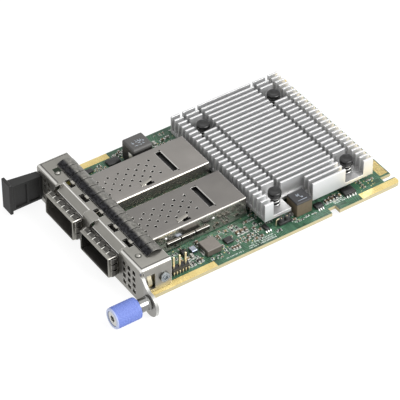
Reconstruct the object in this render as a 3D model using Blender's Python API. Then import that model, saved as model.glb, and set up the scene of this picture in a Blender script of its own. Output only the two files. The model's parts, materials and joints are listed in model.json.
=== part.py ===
"""Mezzanine network card with two pluggable optical ports.

The card is drawn in metres. X runs along the faceplate, Y runs from the
faceplate's front surface towards the edge connector, and Z = 0 is the top
surface of the circuit board, with the parts standing on it upwards.
"""
import math

import bmesh
import bpy
from mathutils import Matrix, Vector

MM = 0.001

# Circuit board
board_front = 1.4 * MM
board_end = 115.0 * MM
board_thickness = 1.57 * MM
tongue_half_width = 32.0 * MM
arm_slot_width = 2.6 * MM
arm_slot_depth = 5.0 * MM
arm_width = 3.4 * MM
arm_tip_round = 1.5 * MM
key_positions = (-12.3 * MM, 0.0, 20.7 * MM)
key_width = 1.9 * MM
key_depth = 5.4 * MM
tongue_bevel = 0.4 * MM
side_notch_start = 83.4 * MM
side_notch_length = 3.4 * MM
side_notch_depth = 2.8 * MM
board_half = tongue_half_width + arm_slot_width + arm_width

# How a piece that is soldered or laid on another one clears it
seat_gap = 0.25 * MM
running_gap = 0.3 * MM
close_gap = 0.15 * MM

# Faceplate: one folded sheet
sheet = 1.0 * MM
plate_left = 2.6 * MM - board_half
plate_right = board_half - 1.8 * MM
plate_depth = 13.2 * MM
plate_top = 12.1 * MM
plate_bottom = -3.2 * MM
fold_radius = 1.3 * MM
corner_seam = 0.35 * MM
hood_drop = 2.4 * MM
hood_depth = 3.0 * MM
hood_reach_left = 8.0 * MM
hood_reach_right = 9.9 * MM
hood_notch = 1.5 * MM
vent_size = 2.0 * MM
vent_step_x = 3.2 * MM
vent_step_z = 2.9 * MM
vent_rows = 4
vent_top_row = 8.3 * MM
vent_right_first = plate_right - 10.8 * MM
vent_right_columns = 3
vent_left_first = plate_left + 6.2 * MM
vent_left_columns = 2
clip_window_length = 5.0 * MM
clip_window_width = 2.2 * MM
clip_window_y = 4.8 * MM
clip_window_step = 9.8 * MM
clip_windows = 5
clip_window_centre = 0.9 * MM
rivet_y = 4.2 * MM
flange_window_front = 2.4 * MM
flange_window_back = 6.3 * MM
flange_window_low = 1.3 * MM
flange_window_high = 8.6 * MM

# Ear that carries the captive thumbscrew
ear_x = plate_right + 5.0 * MM
ear_z = 0.8 * MM
ear_radius = 5.2 * MM
ear_sheet = 1.2 * MM
ear_waist = 1.9
ear_root = 2.0 * MM
ear_shoulder = 2.3 * MM
screw_x = ear_x - 0.2 * MM
screw_z = 1.4 * MM

# Captive thumbscrew
ferrule_radius = 2.6 * MM
ferrule_length = 4.9 * MM
ferrule_bore = 2.0 * MM
ferrule_lip_bore = 1.6 * MM
ferrule_lip = 0.9 * MM
ferrule_foot = 0.3 * MM
knob_radius = 4.2 * MM
knob_length = 10.4 * MM
knob_bore_depth = 6.4 * MM
knob_ridges = 32
knob_ridge_height = 0.18 * MM
shank_radius = 1.3 * MM
shoulder_radius = 1.75 * MM
shoulder_length = 1.1 * MM
screw_head_radius = 2.9 * MM
screw_head_length = 2.6 * MM
screw_recess_radius = 1.1 * MM
screw_recess_depth = 1.6 * MM
screw_tip = 0.8 * MM
release_spring_wire = 0.4 * MM
release_spring_turns = 3.5

# Pull tab
tab_left = plate_left - 0.1 * MM
tab_left_root = plate_left + 1.0 * MM
tab_right = plate_left + 4.3 * MM
tab_reach = 13.2 * MM
tab_low_root = -1.8 * MM
tab_low_end = -1.9 * MM
tab_high_root = 9.4 * MM
tab_high_end = 10.1 * MM
tab_recess = 0.5 * MM
tab_border = 1.0 * MM
tab_rib_y = -6.2 * MM
tab_rib_width = 0.9 * MM
grip_width = 6.0 * MM
grip_above = 0.9 * MM
grip_below = 1.3 * MM
grip_thickness = 1.3 * MM
tab_screw_low = 2.3 * MM
tab_screw_pitch = 4.2 * MM
tab_screw_radius = 0.6 * MM
tab_screw_head = 1.0 * MM
tab_screw_length = 5.0 * MM

# Port cages
port_pitch = 24.2 * MM
right_port_x = 12.0 * MM
cage_width = 18.96 * MM
cage_wall = 0.4 * MM
cage_bottom = 0.35 * MM
cage_top = 9.2 * MM
cage_front = -4.0 * MM
cage_back = 55.9 * MM
cage_fold = 0.7 * MM
cage_slot_y = 41.85 * MM
cage_slot_length = 12.5 * MM
cage_slot_width = 2.3 * MM
cage_vent_first = 15.2 * MM
cage_vent_pitch_y = 2.25 * MM
cage_vent_pitch_x = 2.08 * MM
cage_vent_columns = 5
cage_vent_rows = 11
cage_vent_radius = 0.6 * MM
lance_x = 6.2 * MM
lance_y = 28.0 * MM
lance_length = 4.2 * MM
lance_width = 1.8 * MM
lance_rise = 0.9 * MM
latch_low = 2.3 * MM
latch_high = 4.4 * MM
latch_bulge = 0.6 * MM
latch_round = 0.2 * MM
latch_start = 20.9 * MM
latch_length = 5.8 * MM
latch_step = 6.3 * MM
latch_count = 3

# Port gaskets: sprung fingers around each cage mouth
gasket_sheet = 0.2 * MM
gasket_gap = 0.12 * MM
gasket_front = -4.4 * MM
gasket_lip = 1.5 * MM
gasket_back = -0.35 * MM
gasket_bulge = 0.55 * MM
gasket_slit = 0.35 * MM
gasket_fingers_wide = 6
gasket_fingers_high = 3

# Port connectors
connector_front = 36.0 * MM
connector_back = 50.0 * MM
connector_top = 7.6 * MM
connector_side_gap = 0.98 * MM
connector_half_width = cage_width / 2 - cage_wall - connector_side_gap
connector_slot_end = 1.2 * MM
connector_slot_low = 3.6 * MM
connector_slot_high = 5.2 * MM
connector_slot_depth = 5.0 * MM

# Top gasket: sprung fingers along the faceplate's top
strip_left = plate_left + 4.9 * MM
strip_right = plate_right - 5.3 * MM
strip_front = 6.3 * MM
strip_foot = 0.7 * MM
strip_crest_y = 9.7 * MM
strip_crest = 13.9 * MM
strip_back = 13.0 * MM
strip_sheet = 0.25 * MM
strip_fingers = 13
strip_slit = 0.4 * MM

# Side spring fingers in the flange windows
side_finger_width = 1.0 * MM
side_finger_bulge = 0.5 * MM

# Heatsink
sink_left = -31.25 * MM
sink_right = 31.25 * MM
sink_front = 57.5 * MM
sink_back = 106.9 * MM
sink_bottom = 3.2 * MM
sink_base = 1.5 * MM
sink_top = 11.2 * MM
fin_count = 26
fin_thickness = 0.8 * MM
cut_starts = (61.4 * MM, 68.4 * MM, 94.1 * MM, 101.1 * MM)
cut_width = 1.35 * MM
pin_columns = (4, 23)
pin_rows = (65.5 * MM, 98.3 * MM)
pocket_fins = 3
choke_notch_fins = 3
choke_notch_front = 69.4 * MM
choke_notch_back = 79.1 * MM

# Push pins and their springs
pin_head_radius = 2.6 * MM
pin_head_top = 11.2 * MM
pin_head_height = 2.5 * MM
pin_collar_radius = 1.9 * MM
pin_shank_radius = 1.2 * MM
pin_barb_radius = 1.5 * MM
pin_tip = -3.4 * MM
pin_spring_radius = 2.2 * MM
pin_spring_wire = 0.5 * MM
pin_spring_turns = 3.0

# Processor under the heatsink
package_size = 31.0 * MM
package_thickness = 1.2 * MM
lid_size = 26.0 * MM
lid_thickness = 0.75 * MM
pad_size = 24.0 * MM

# Pin header behind the right flange
header_x = plate_right - 3.8 * MM
header_y = 19.1 * MM
header_pins = 3
header_pitch = 2.54 * MM
header_height = 2.5 * MM
header_pin = 0.64 * MM
header_pin_top = 8.0 * MM

# Mounting blocks and flange screws
block_width = 4.0 * MM
block_front = 6.9 * MM
block_back = 12.6 * MM
block_top = 9.4 * MM
flange_screw_y = 10.0 * MM
flange_screw_z = 5.2 * MM
flange_screw_radius = 1.0 * MM
flange_screw_head = 2.0 * MM
flange_screw_length = 4.4 * MM
rivet_radius = 0.9 * MM
rivet_dome = 0.5 * MM

# Chokes and chips: width, length and height of each, and its centre
port_side = right_port_x + cage_width / 2
far_side = right_port_x - port_pitch - cage_width / 2
choke_front_size = (6.4 * MM, 6.3 * MM, 2.8 * MM)
choke_front_centre = (port_side + 7.7 * MM, 34.6 * MM)
choke_rear_size = (6.8 * MM, 7.0 * MM, 6.5 * MM)
choke_rear_centre = (sink_right - 1.65 * MM, (choke_notch_front + choke_notch_back) / 2)
choke_left_size = (8.4 * MM, 8.9 * MM, 8.95 * MM)
choke_left_centre = (far_side - 6.4 * MM, 40.3 * MM)
regulator_size = (3.0 * MM, 3.2 * MM, 0.9 * MM)
regulator_centre = (port_side + 7.7 * MM, 42.6 * MM)
crystal_size = (2.8 * MM, 2.5 * MM, 1.3 * MM)
crystal_centre = (port_side + 5.0 * MM, 28.9 * MM)
capacitor_size = (2.0 * MM, 1.2 * MM, 1.1 * MM)
capacitor_first = (port_side + 6.3 * MM, 47.6 * MM)
capacitor_pitch = 1.9 * MM
capacitor_count = 3


def clear_scene():
    for obj in list(bpy.data.objects):
        bpy.data.objects.remove(obj, do_unlink=True)


def material(name, colour, roughness, metallic=0.0):
    """Find or make a Principled material with one colour."""
    found = bpy.data.materials.get(name)
    if found:
        return found
    made = bpy.data.materials.new(name)
    made.use_nodes = True
    shader = made.node_tree.nodes["Principled BSDF"]
    shader.inputs["Base Color"].default_value = (*colour, 1.0)
    shader.inputs["Roughness"].default_value = roughness
    shader.inputs["Metallic"].default_value = metallic
    return made


def board_green():
    return material("solder_mask", (0.05, 0.15, 0.085), 0.4)


def cage_metal():
    return material("nickel_sheet", (0.42, 0.41, 0.39), 0.35, 1.0)


def plate_metal():
    return material("plated_steel", (0.5, 0.49, 0.46), 0.4, 1.0)


def spring_metal():
    return material("spring_steel", (0.35, 0.35, 0.35), 0.3, 1.0)


def bright_metal():
    return material("bright_nickel", (0.75, 0.75, 0.74), 0.2, 1.0)


def sink_aluminium():
    return material("aluminium", (0.7, 0.7, 0.7), 0.4, 1.0)


def black_plastic():
    return material("black_plastic", (0.03, 0.03, 0.03), 0.5)


def gold_metal():
    return material("gold_plating", (0.75, 0.58, 0.25), 0.3, 1.0)


def finish(name, bm, skin, location=(0.0, 0.0, 0.0), rotation=(0.0, 0.0, 0.0), smooth=None):
    """Make a named object from a bmesh, in place, with one material."""
    bmesh.ops.recalc_face_normals(bm, faces=bm.faces)
    mesh = bpy.data.meshes.new(name)
    bm.to_mesh(mesh)
    bm.free()
    if smooth:
        mesh.shade_smooth()
        mesh.set_sharp_from_angle(angle=math.radians(smooth))
    obj = bpy.data.objects.new(name, mesh)
    obj.location = location
    obj.rotation_euler = rotation
    mesh.materials.append(skin)
    bpy.context.scene.collection.objects.link(obj)
    return obj


def extrude(bm, outline, depth, plane="XY", offset=0.0):
    """Add a closed prism: an outline in a plane, carried along the plane's normal."""
    place = {
        "XY": lambda u, v: Vector((u, v, offset)),
        "XZ": lambda u, v: Vector((u, offset, v)),
        "YZ": lambda u, v: Vector((offset, u, v)),
    }[plane]
    along = {"XY": Vector((0, 0, depth)), "XZ": Vector((0, depth, 0)), "YZ": Vector((depth, 0, 0))}[plane]
    face = bm.faces.new([bm.verts.new(place(u, v)) for u, v in outline])
    grown = bmesh.ops.extrude_face_region(bm, geom=[face])
    moved = [item for item in grown["geom"] if isinstance(item, bmesh.types.BMVert)]
    bmesh.ops.translate(bm, verts=moved, vec=along)
    return moved


def add_box(bm, low, high):
    """Add a box between two corners."""
    outline = [(low[0], low[1]), (high[0], low[1]), (high[0], high[1]), (low[0], high[1])]
    extrude(bm, outline, high[2] - low[2], "XY", low[2])


def bevelled_box(low, high, width, segments=2, wanted=lambda a, b: True):
    """A box with a rounded edge wherever wanted(a, b) is true for the edge's ends."""
    bm = bmesh.new()
    add_box(bm, low, high)
    edges = [edge for edge in bm.edges if wanted(edge.verts[0].co, edge.verts[1].co)]
    bmesh.ops.bevel(bm, geom=edges, offset=width, segments=segments, profile=0.5, affect="EDGES")
    return bm


def turned(profile, steps):
    """Turn an outline of (radius, height) pairs about Z into a closed solid."""
    bm = bmesh.new()
    verts = [bm.verts.new((radius, 0.0, height)) for radius, height in profile]
    edges = [bm.edges.new((a, b)) for a, b in zip(verts, verts[1:])]
    if profile[0][0] > 0.0:
        edges.append(bm.edges.new((verts[-1], verts[0])))
    bmesh.ops.spin(bm, geom=verts + edges, cent=(0, 0, 0), axis=(0, 0, 1),
                   angle=math.tau, steps=steps, use_merge=True)
    bmesh.ops.remove_doubles(bm, verts=bm.verts, dist=1e-6)
    return bm


def arc(centre, radius, start, end, steps):
    """Points on an arc, in degrees, both ends included."""
    angles = [math.radians(start + (end - start) * i / steps) for i in range(steps + 1)]
    return [(centre[0] + radius * math.cos(a), centre[1] + radius * math.sin(a)) for a in angles]


def cut(obj, bm, label, operation="DIFFERENCE"):
    """Boolean one bmesh into an object, keeping its tool hidden as a wire guide."""
    tool = finish(f"{obj.name}_{label}", bm, obj.data.materials[0])
    tool.hide_render = True
    tool.display_type = "WIRE"
    modifier = obj.modifiers.new(label, "BOOLEAN")
    modifier.operation = operation
    modifier.object = tool
    return tool


def add_cylinder(bm, centre, radius, depth, axis, steps=12):
    """Add a closed cylinder that starts at centre and runs depth along an axis."""
    turn = {"X": Matrix.Rotation(math.pi / 2, 4, "Y"), "Y": Matrix.Rotation(-math.pi / 2, 4, "X"),
            "Z": Matrix.Identity(4)}[axis]
    matrix = Matrix.Translation(centre) @ turn @ Matrix.Translation((0, 0, depth / 2))
    bmesh.ops.create_cone(bm, cap_ends=True, segments=steps, radius1=radius, radius2=radius,
                          depth=depth, matrix=matrix)


def coil(radius, wire, height, turns, steps=12, sides=5):
    """A helical spring standing on Z = 0, with the wire's ends closed."""
    bm = bmesh.new()
    count = int(turns * steps)
    rise = height - wire
    rings = []
    for i in range(count + 1):
        angle = math.tau * i / steps
        middle = Vector((radius * math.cos(angle), radius * math.sin(angle), wire / 2 + rise * i / count))
        out = Vector((math.cos(angle), math.sin(angle), 0))
        ring = []
        for j in range(sides):
            around = math.tau * j / sides
            ring.append(bm.verts.new(middle + out * (wire / 2 * math.cos(around))
                                     + Vector((0, 0, wire / 2 * math.sin(around)))))
        rings.append(ring)
    for before, after in zip(rings, rings[1:]):
        for j in range(sides):
            k = (j + 1) % sides
            bm.faces.new((before[j], before[k], after[k], after[j]))
    bm.faces.new(rings[0])
    bm.faces.new(list(reversed(rings[-1])))
    return bm


def port_centres():
    return {"right": right_port_x, "left": right_port_x - port_pitch}


def fin_pitch():
    return (sink_right - sink_left - fin_thickness) / (fin_count - 1)


def fin_centre(index):
    return sink_left + fin_thickness / 2 + fin_pitch() * index


def pin_places():
    """Centre of each push pin: columns count fins from the left, rows run front to rear."""
    sides = dict(zip(("left", "right"), pin_columns))
    ends = dict(zip(("front", "rear"), pin_rows))
    return {f"{end}_{side}": (fin_centre(sides[side]), ends[end]) for end in ends for side in sides}


# The circuit board

def board_outline():
    half = board_half
    tip = arm_tip_round
    slot_start = tongue_half_width + arm_slot_width
    notch_in = half - side_notch_depth
    notch_end = side_notch_start + side_notch_length
    points = [(-half, board_front), (half, board_front), (half, side_notch_start), (notch_in, side_notch_start),
              (notch_in, notch_end), (half, notch_end)]
    points += arc((half - tip, board_end - tip), tip, 0, 90, 3)
    points += arc((slot_start + tip / 2, board_end - tip / 2), tip / 2, 90, 180, 2)
    points += [(slot_start, board_end - arm_slot_depth), (tongue_half_width, board_end - arm_slot_depth),
               (tongue_half_width, board_end)]
    for key in reversed(key_positions):
        centre = (key, board_end - key_depth + key_width / 2)
        points.append((key + key_width / 2, board_end))
        points += arc(centre, key_width / 2, 0, -180, 6)
        points.append((key - key_width / 2, board_end))
    points += [(-tongue_half_width, board_end), (-tongue_half_width, board_end - arm_slot_depth),
               (-slot_start, board_end - arm_slot_depth)]
    points += arc((-slot_start - tip / 2, board_end - tip / 2), tip / 2, 0, 90, 2)
    points += arc((-half + tip, board_end - tip), tip, 90, 180, 3)
    return points


def circuit_board():
    bm = bmesh.new()
    extrude(bm, board_outline(), board_thickness, "XY", -board_thickness)
    mating = [edge for edge in bm.edges
              if all(abs(v.co.y - board_end) < 1e-6 and abs(v.co.x) < tongue_half_width + 1e-6 for v in edge.verts)
              and abs(edge.verts[0].co.z - edge.verts[1].co.z) < 1e-6]
    bmesh.ops.bevel(bm, geom=mating, offset=tongue_bevel, segments=1, affect="EDGES")
    board = finish("circuit_board", bm, board_green())
    holes = bmesh.new()
    for x, y in pin_places().values():
        add_cylinder(holes, (x, y, -board_thickness - MM), pin_barb_radius + close_gap,
                     board_thickness + 2 * MM, "Z")
    cut(board, holes, "pin_holes")
    return board


# The faceplate

def ear_outline():
    """Front view of the ear: a round tab joined to the plate by an S-shaped upper edge."""
    root = plate_right - ear_root
    top = plate_top - ear_shoulder
    rounded = arc((ear_x, ear_z), ear_radius, -150, 75, 14)
    join = rounded[-1]
    start = (plate_right, top)
    steps = 6
    bend = []
    for i in range(1, steps):
        t = i / steps
        ease = t * t * (3 - 2 * t)
        bend.append((join[0] + (start[0] - join[0]) * t, join[1] + (start[1] - join[1]) * ease ** ear_waist))
    return [(root, rounded[0][1])] + rounded + bend + [start, (root, top)]


def vent_cutters(bm, first, columns):
    for column in range(columns):
        for row in range(vent_rows):
            x = first + vent_step_x * column
            z = vent_top_row - vent_step_z * row
            half = vent_size / 2
            add_box(bm, (x - half, -MM, z - half), (x + half, sheet + MM, z + half))


def faceplate():
    def folded(a, b):
        top = a.z > 0 and b.z > 0
        front_corner = abs(a.z - b.z) > MM and a.y < MM and b.y < MM
        return (top and not (a.y > MM and b.y > MM)) or front_corner

    outer = bevelled_box((plate_left, 0, plate_bottom), (plate_right, plate_depth, plate_top),
                         fold_radius, 3, folded)
    plate = finish("faceplate", outer, plate_metal(), smooth=20)

    inner = bevelled_box((plate_left + sheet, sheet, plate_bottom - MM),
                         (plate_right - sheet, plate_depth + MM, plate_top - sheet),
                         fold_radius - sheet, 1, folded)
    cut(plate, inner, "inside")

    ear = bmesh.new()
    extrude(ear, ear_outline(), ear_sheet, "XZ", 0.0)
    cut(plate, ear, "ear", "UNION")

    # the flanges stop above the board, and a seam parts them from the front
    below = bmesh.new()
    add_box(below, (plate_left - MM, ear_sheet + close_gap, plate_bottom - MM),
            (plate_right + 12 * MM, plate_depth + MM, seat_gap))
    cut(plate, below, "board_room")
    seams = bmesh.new()
    for side in (plate_left, plate_right):
        inward = side + math.copysign(sheet + 2 * close_gap, -side)
        add_box(seams, (min(side + math.copysign(MM, side), inward), ear_sheet, plate_bottom - 2 * MM),
                (max(side + math.copysign(MM, side), inward), ear_sheet + corner_seam,
                 plate_top - fold_radius))
    cut(plate, seams, "seams")

    # port openings, with the sheet above each one pushed in as a sloping hood
    ports = bmesh.new()
    hoods = bmesh.new()
    flanks = bmesh.new()
    reach = cage_width / 2 + running_gap
    for centre in port_centres().values():
        left = centre - hood_reach_left - close_gap
        right = centre + hood_reach_right
        outline = [(centre - reach, cage_bottom - running_gap), (centre + reach, cage_bottom - running_gap),
                   (centre + reach, plate_top - hood_drop), (right, plate_top - hood_drop),
                   (right, plate_top + MM), (left, plate_top + MM), (left, plate_top - close_gap),
                   (centre - reach, plate_top - hood_drop)]
        extrude(ports, outline, hood_depth + MM, "XZ", -MM)
        slope = [(0.2 * MM, plate_top - hood_drop), (hood_depth, plate_top), (hood_depth + sheet, plate_top),
                 (hood_depth + sheet, plate_top - sheet), (hood_depth, plate_top - 1.2 * sheet),
                 (1.1 * sheet, plate_top - hood_drop)]
        extrude(hoods, slope, hood_reach_left + hood_reach_right, "YZ", centre - hood_reach_left)
        # the hood's left end is drawn down from the plate, and only a relief notch stays open at the fold
        flank = [(hood_notch, plate_top - hood_drop), (hood_depth, plate_top - 1.2 * sheet),
                 (hood_depth, plate_top), (hood_notch, plate_top)]
        extrude(flanks, flank, sheet + 2 * close_gap, "YZ", left - sheet)
    cut(plate, ports, "ports")
    cut(plate, hoods, "hoods", "UNION")
    cut(plate, flanks, "flanks", "UNION")

    openings = bmesh.new()
    vent_cutters(openings, vent_right_first, vent_right_columns)
    vent_cutters(openings, vent_left_first, vent_left_columns)
    for i in range(clip_windows):
        x = clip_window_centre + clip_window_step * (i - (clip_windows - 1) / 2)
        add_box(openings, (x - clip_window_length / 2, clip_window_y - clip_window_width / 2, plate_top - 2 * sheet),
                (x + clip_window_length / 2, clip_window_y + clip_window_width / 2, plate_top + MM))
    for side in (plate_left, plate_right):
        low, high = sorted((side + math.copysign(MM, side), side - math.copysign(2 * sheet, side)))
        add_box(openings, (low, flange_window_front, flange_window_low), (high, flange_window_back, flange_window_high))
        add_cylinder(openings, (low, flange_screw_y, flange_screw_z), flange_screw_radius + close_gap,
                     high - low, "X", 12)
    add_cylinder(openings, (screw_x, -MM, screw_z), ferrule_hole(), ear_sheet + 2 * MM, "Y", 20)
    for z in tab_screw_heights():
        add_cylinder(openings, (tab_screw_x(), -MM, z), tab_screw_radius + close_gap, sheet + 2 * MM, "Y", 10)
    cut(plate, openings, "openings")

    rivet_holes = bmesh.new()
    for x in rivet_places():
        add_cylinder(rivet_holes, (x, rivet_y, plate_top - 2 * sheet), rivet_radius * 0.6 + close_gap,
                     3 * sheet, "Z", 10)
    cut(plate, rivet_holes, "rivet_holes")
    return plate


def rivet_places():
    return (strip_left + 4.2 * MM, strip_right - 2.5 * MM)


def rivets():
    """Round-headed rivets that hold the top gasket's ends."""
    for side, x in zip(("left", "right"), rivet_places()):
        head = rivet_radius
        neck = rivet_radius * 0.6
        low = plate_top - sheet - rivet_dome
        top = plate_top + close_gap
        profile = [(0.0, top + rivet_dome)] + [(head * math.sin(math.radians(a)),
                                                top + rivet_dome * math.cos(math.radians(a))) for a in (40, 70, 90)]
        profile += [(neck, top), (neck, low), (0.0, low)]
        finish(f"rivet_{side}", turned(profile, 12), bright_metal(), location=(x, rivet_y, 0), smooth=35)


# Gaskets

def top_gasket():
    """A strip of arched spring fingers, cut from one thin sheet."""
    base = plate_top + close_gap
    steps = 8
    upper = [(strip_front, base + strip_sheet), (strip_front + strip_foot, base + strip_sheet)]
    rise_start = strip_front + strip_foot
    for i in range(1, steps + 1):
        t = i / steps
        y = rise_start + (strip_back - rise_start) * t
        peak = (strip_crest_y - rise_start) / (strip_back - rise_start)
        lean = t / peak if t < peak else (1 - t) / (1 - peak)
        height = math.sin(math.pi / 2 * lean) ** 0.85
        upper.append((y, base + strip_sheet + (strip_crest - base - strip_sheet) * height))
    lower = [(y, z - strip_sheet) for y, z in upper]
    bm = bmesh.new()
    extrude(bm, upper + list(reversed(lower)), strip_right - strip_left, "YZ", strip_left)
    strip = finish("top_gasket", bm, spring_metal(), smooth=30)
    slits = bmesh.new()
    for i in range(1, strip_fingers):
        x = strip_left + (strip_right - strip_left) * i / strip_fingers
        add_box(slits, (x - strip_slit / 2, rise_start + 0.3 * MM, plate_top - MM),
                (x + strip_slit / 2, strip_back + MM, strip_crest + MM))
    cut(strip, slits, "slits")
    return strip


def gasket_ring(centre, out, y):
    """Four corners of the cage's outline, grown outwards, at one distance along Y."""
    half = cage_width / 2 + out
    return [(centre - half, y, cage_bottom - out), (centre + half, y, cage_bottom - out),
            (centre + half, y, cage_top + out), (centre - half, y, cage_top + out)]


def port_gasket(side, centre):
    """A sleeve around the cage's mouth whose rear edge is slit into bowed fingers."""
    lip_end = gasket_front + gasket_lip
    stations = [(gasket_front, 0.0), (lip_end, 0.0)]
    finger_steps = 4
    for i in range(1, finger_steps + 1):
        t = i / finger_steps
        stations.append((lip_end + (gasket_back - lip_end) * t, gasket_bulge * math.sin(math.pi * t)))
    bm = bmesh.new()
    outside = [[bm.verts.new(p) for p in gasket_ring(centre, gasket_gap + gasket_sheet + swell, y)]
               for y, swell in stations]
    inside = [[bm.verts.new(p) for p in gasket_ring(centre, gasket_gap + swell, y)] for y, swell in stations]
    loops = outside + list(reversed(inside))
    for before, after in zip(loops, loops[1:] + loops[:1]):
        for j in range(4):
            k = (j + 1) % 4
            bm.faces.new((before[j], before[k], after[k], after[j]))
    ring = finish(f"{side}_port_gasket", bm, spring_metal())

    slits = bmesh.new()
    wide = cage_width + 2 * gasket_gap
    high = cage_top - cage_bottom
    for i in range(gasket_fingers_wide + 1):
        x = centre - wide / 2 + wide * i / gasket_fingers_wide
        half = gasket_slit / 2 if 0 < i < gasket_fingers_wide else gasket_slit
        add_box(slits, (x - half, lip_end + 0.15 * MM, cage_bottom - 3 * MM),
                (x + half, gasket_back + MM, cage_bottom - gasket_gap / 2))
        add_box(slits, (x - half, lip_end + 0.15 * MM, cage_top + gasket_gap / 2),
                (x + half, gasket_back + MM, cage_top + 3 * MM))
    cut(ring, slits, "slits")
    side_slits = bmesh.new()
    for i in range(1, gasket_fingers_high):
        z = cage_bottom + high * i / gasket_fingers_high
        add_box(side_slits, (centre - wide, lip_end + 0.15 * MM, z - gasket_slit / 2),
                (centre + wide, gasket_back + MM, z + gasket_slit / 2))
    cut(ring, side_slits, "side_slits")
    return ring


def side_gaskets():
    """One bowed spring finger in each flange's window, held by its foot inside."""
    for side, wall in (("left", plate_left), ("right", plate_right)):
        way = math.copysign(1.0, wall)
        inner = wall - way * (sheet + close_gap)
        steps = 6
        middle = (flange_window_front + flange_window_back) / 2 - 0.4 * MM
        low = flange_window_low - 0.6 * MM
        high = flange_window_high + 0.6 * MM
        outline = []
        for i in range(steps + 1):
            t = i / steps
            bow = way * (sheet + close_gap + side_finger_bulge) * math.sin(math.pi * t) ** 2
            outline.append((inner + bow, low + (high - low) * t))
        back = [(x - way * strip_sheet, z) for x, z in reversed(outline)]
        bm = bmesh.new()
        extrude(bm, outline + back, side_finger_width, "XZ", middle - side_finger_width / 2)
        finish(f"{side}_flange_finger", bm, bright_metal(), smooth=30)


# Ports

def cage_outline(grow, radius, steps):
    """Cage section with rounded upper folds, from the lower left corner round to the upper left."""
    half = cage_width / 2 - grow
    low = cage_bottom + grow
    high = cage_top - grow
    points = [(-half, low), (half, low)]
    points += arc((half - radius, high - radius), radius, 0, 90, steps)
    points += arc((-half + radius, high - radius), radius, 90, 180, steps)
    return points


def cage(side, centre):
    """A folded sheet box, open at the front, over one pluggable module."""
    fold_steps = 3
    outer = cage_outline(0.0, cage_fold, fold_steps)
    inner = cage_outline(cage_wall, cage_fold - cage_wall, fold_steps)
    bm = bmesh.new()
    front_out = [bm.verts.new((centre + x, cage_front, z)) for x, z in outer]
    back_out = [bm.verts.new((centre + x, cage_back, z)) for x, z in outer]
    front_in = [bm.verts.new((centre + x, cage_front, z)) for x, z in inner]
    back_in = [bm.verts.new((centre + x, cage_back - cage_wall, z)) for x, z in inner]
    for first, second in ((back_out, front_out), (front_out, front_in), (front_in, back_in)):
        for j in range(len(outer)):
            k = (j + 1) % len(outer)
            bm.faces.new((first[j], first[k], second[k], second[j]))
    bm.faces.new(back_out)
    bm.faces.new(list(reversed(back_in)))
    body = finish(f"{side}_cage", bm, cage_metal(), smooth=40)

    # the latch plates stand on the wall that looks away from the other port
    latches = bmesh.new()
    outward = 1 if side == "right" else -1
    root = centre + outward * (cage_width - cage_wall) / 2
    face = centre + outward * (cage_width / 2 + latch_bulge)
    for i in range(latch_count):
        start = latch_start + latch_step * i
        ridge = [(root, latch_low), (face - outward * latch_round, latch_low), (face, latch_low + latch_round),
                 (face, latch_high - latch_round), (face - outward * latch_round, latch_high), (root, latch_high)]
        extrude(latches, ridge, latch_length, "XZ", start)
    cut(body, latches, "latches", "UNION")

    holes = bmesh.new()
    depth = (cage_top - 1.5 * MM, cage_top + MM)
    add_box(holes, (centre - cage_slot_length / 2, cage_slot_y, depth[0]),
            (centre + cage_slot_length / 2, cage_slot_y + cage_slot_width, depth[1]))
    for x, y in cage_vents():
        add_cylinder(holes, (centre + x, y, depth[0]), cage_vent_radius, depth[1] - depth[0], "Z", 6)
    lance = centre + lance_x
    add_box(holes, (lance - lance_width / 2, lance_y, depth[0]),
            (lance + lance_width / 2, lance_y + lance_length, depth[1]))
    # the floor is open over the connector, which stands on the board
    add_box(holes, (centre - connector_half_width - running_gap, connector_front - running_gap, cage_bottom - MM),
            (centre + connector_half_width + running_gap, connector_back + running_gap, cage_bottom + cage_wall + 0.2 * MM))
    cut(body, holes, "holes")

    # the lanced tongue stays joined at its front end and rises towards the rear
    tongue = bmesh.new()
    under = cage_top - cage_wall
    rise_end = lance_y + lance_length - running_gap
    flap = [(lance_y - cage_wall, under), (rise_end, under + lance_rise), (rise_end, under + lance_rise + cage_wall),
            (lance_y - cage_wall, cage_top)]
    extrude(tongue, flap, lance_width - 2 * close_gap, "YZ", lance - lance_width / 2 + close_gap)
    cut(body, tongue, "tongue", "UNION")
    return body


def cage_vents():
    """A staggered field of vent holes, as (x, y) with x from the port's centre line."""
    middle = (cage_vent_columns - 1) / 2
    return [(cage_vent_pitch_x * (column - middle), cage_vent_first + cage_vent_pitch_y * row)
            for row in range(cage_vent_rows) for column in range(cage_vent_columns) if (row + column) % 2 == 0]


def port_connector(side, centre):
    """The socket at the back of a port, with the card slot that a module's edge enters."""
    low = seat_gap
    bm = bevelled_box((centre - connector_half_width, connector_front, low),
                      (centre + connector_half_width, connector_back, connector_top), 0.3 * MM, 1,
                      lambda a, b: a.z > MM and b.z > MM)
    body = finish(f"{side}_port_connector", bm, black_plastic())
    slot = bmesh.new()
    add_box(slot, (centre - connector_half_width + connector_slot_end, connector_front - MM, connector_slot_low),
            (centre + connector_half_width - connector_slot_end, connector_front + connector_slot_depth, connector_slot_high))
    cut(body, slot, "slot")
    return body


# The heatsink with its push pins

def comb_outline():
    """Section across the fins: a flat base with upright fins on it."""
    floor = sink_bottom + sink_base
    points = [(sink_left, sink_bottom), (sink_right, sink_bottom)]
    for index in reversed(range(fin_count)):
        x = fin_centre(index)
        right, left = x + fin_thickness / 2, x - fin_thickness / 2
        if index < fin_count - 1:
            points.append((right, floor))
        points += [(right, sink_top), (left, sink_top)]
        if index > 0:
            points.append((left, floor))
    return points


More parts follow.
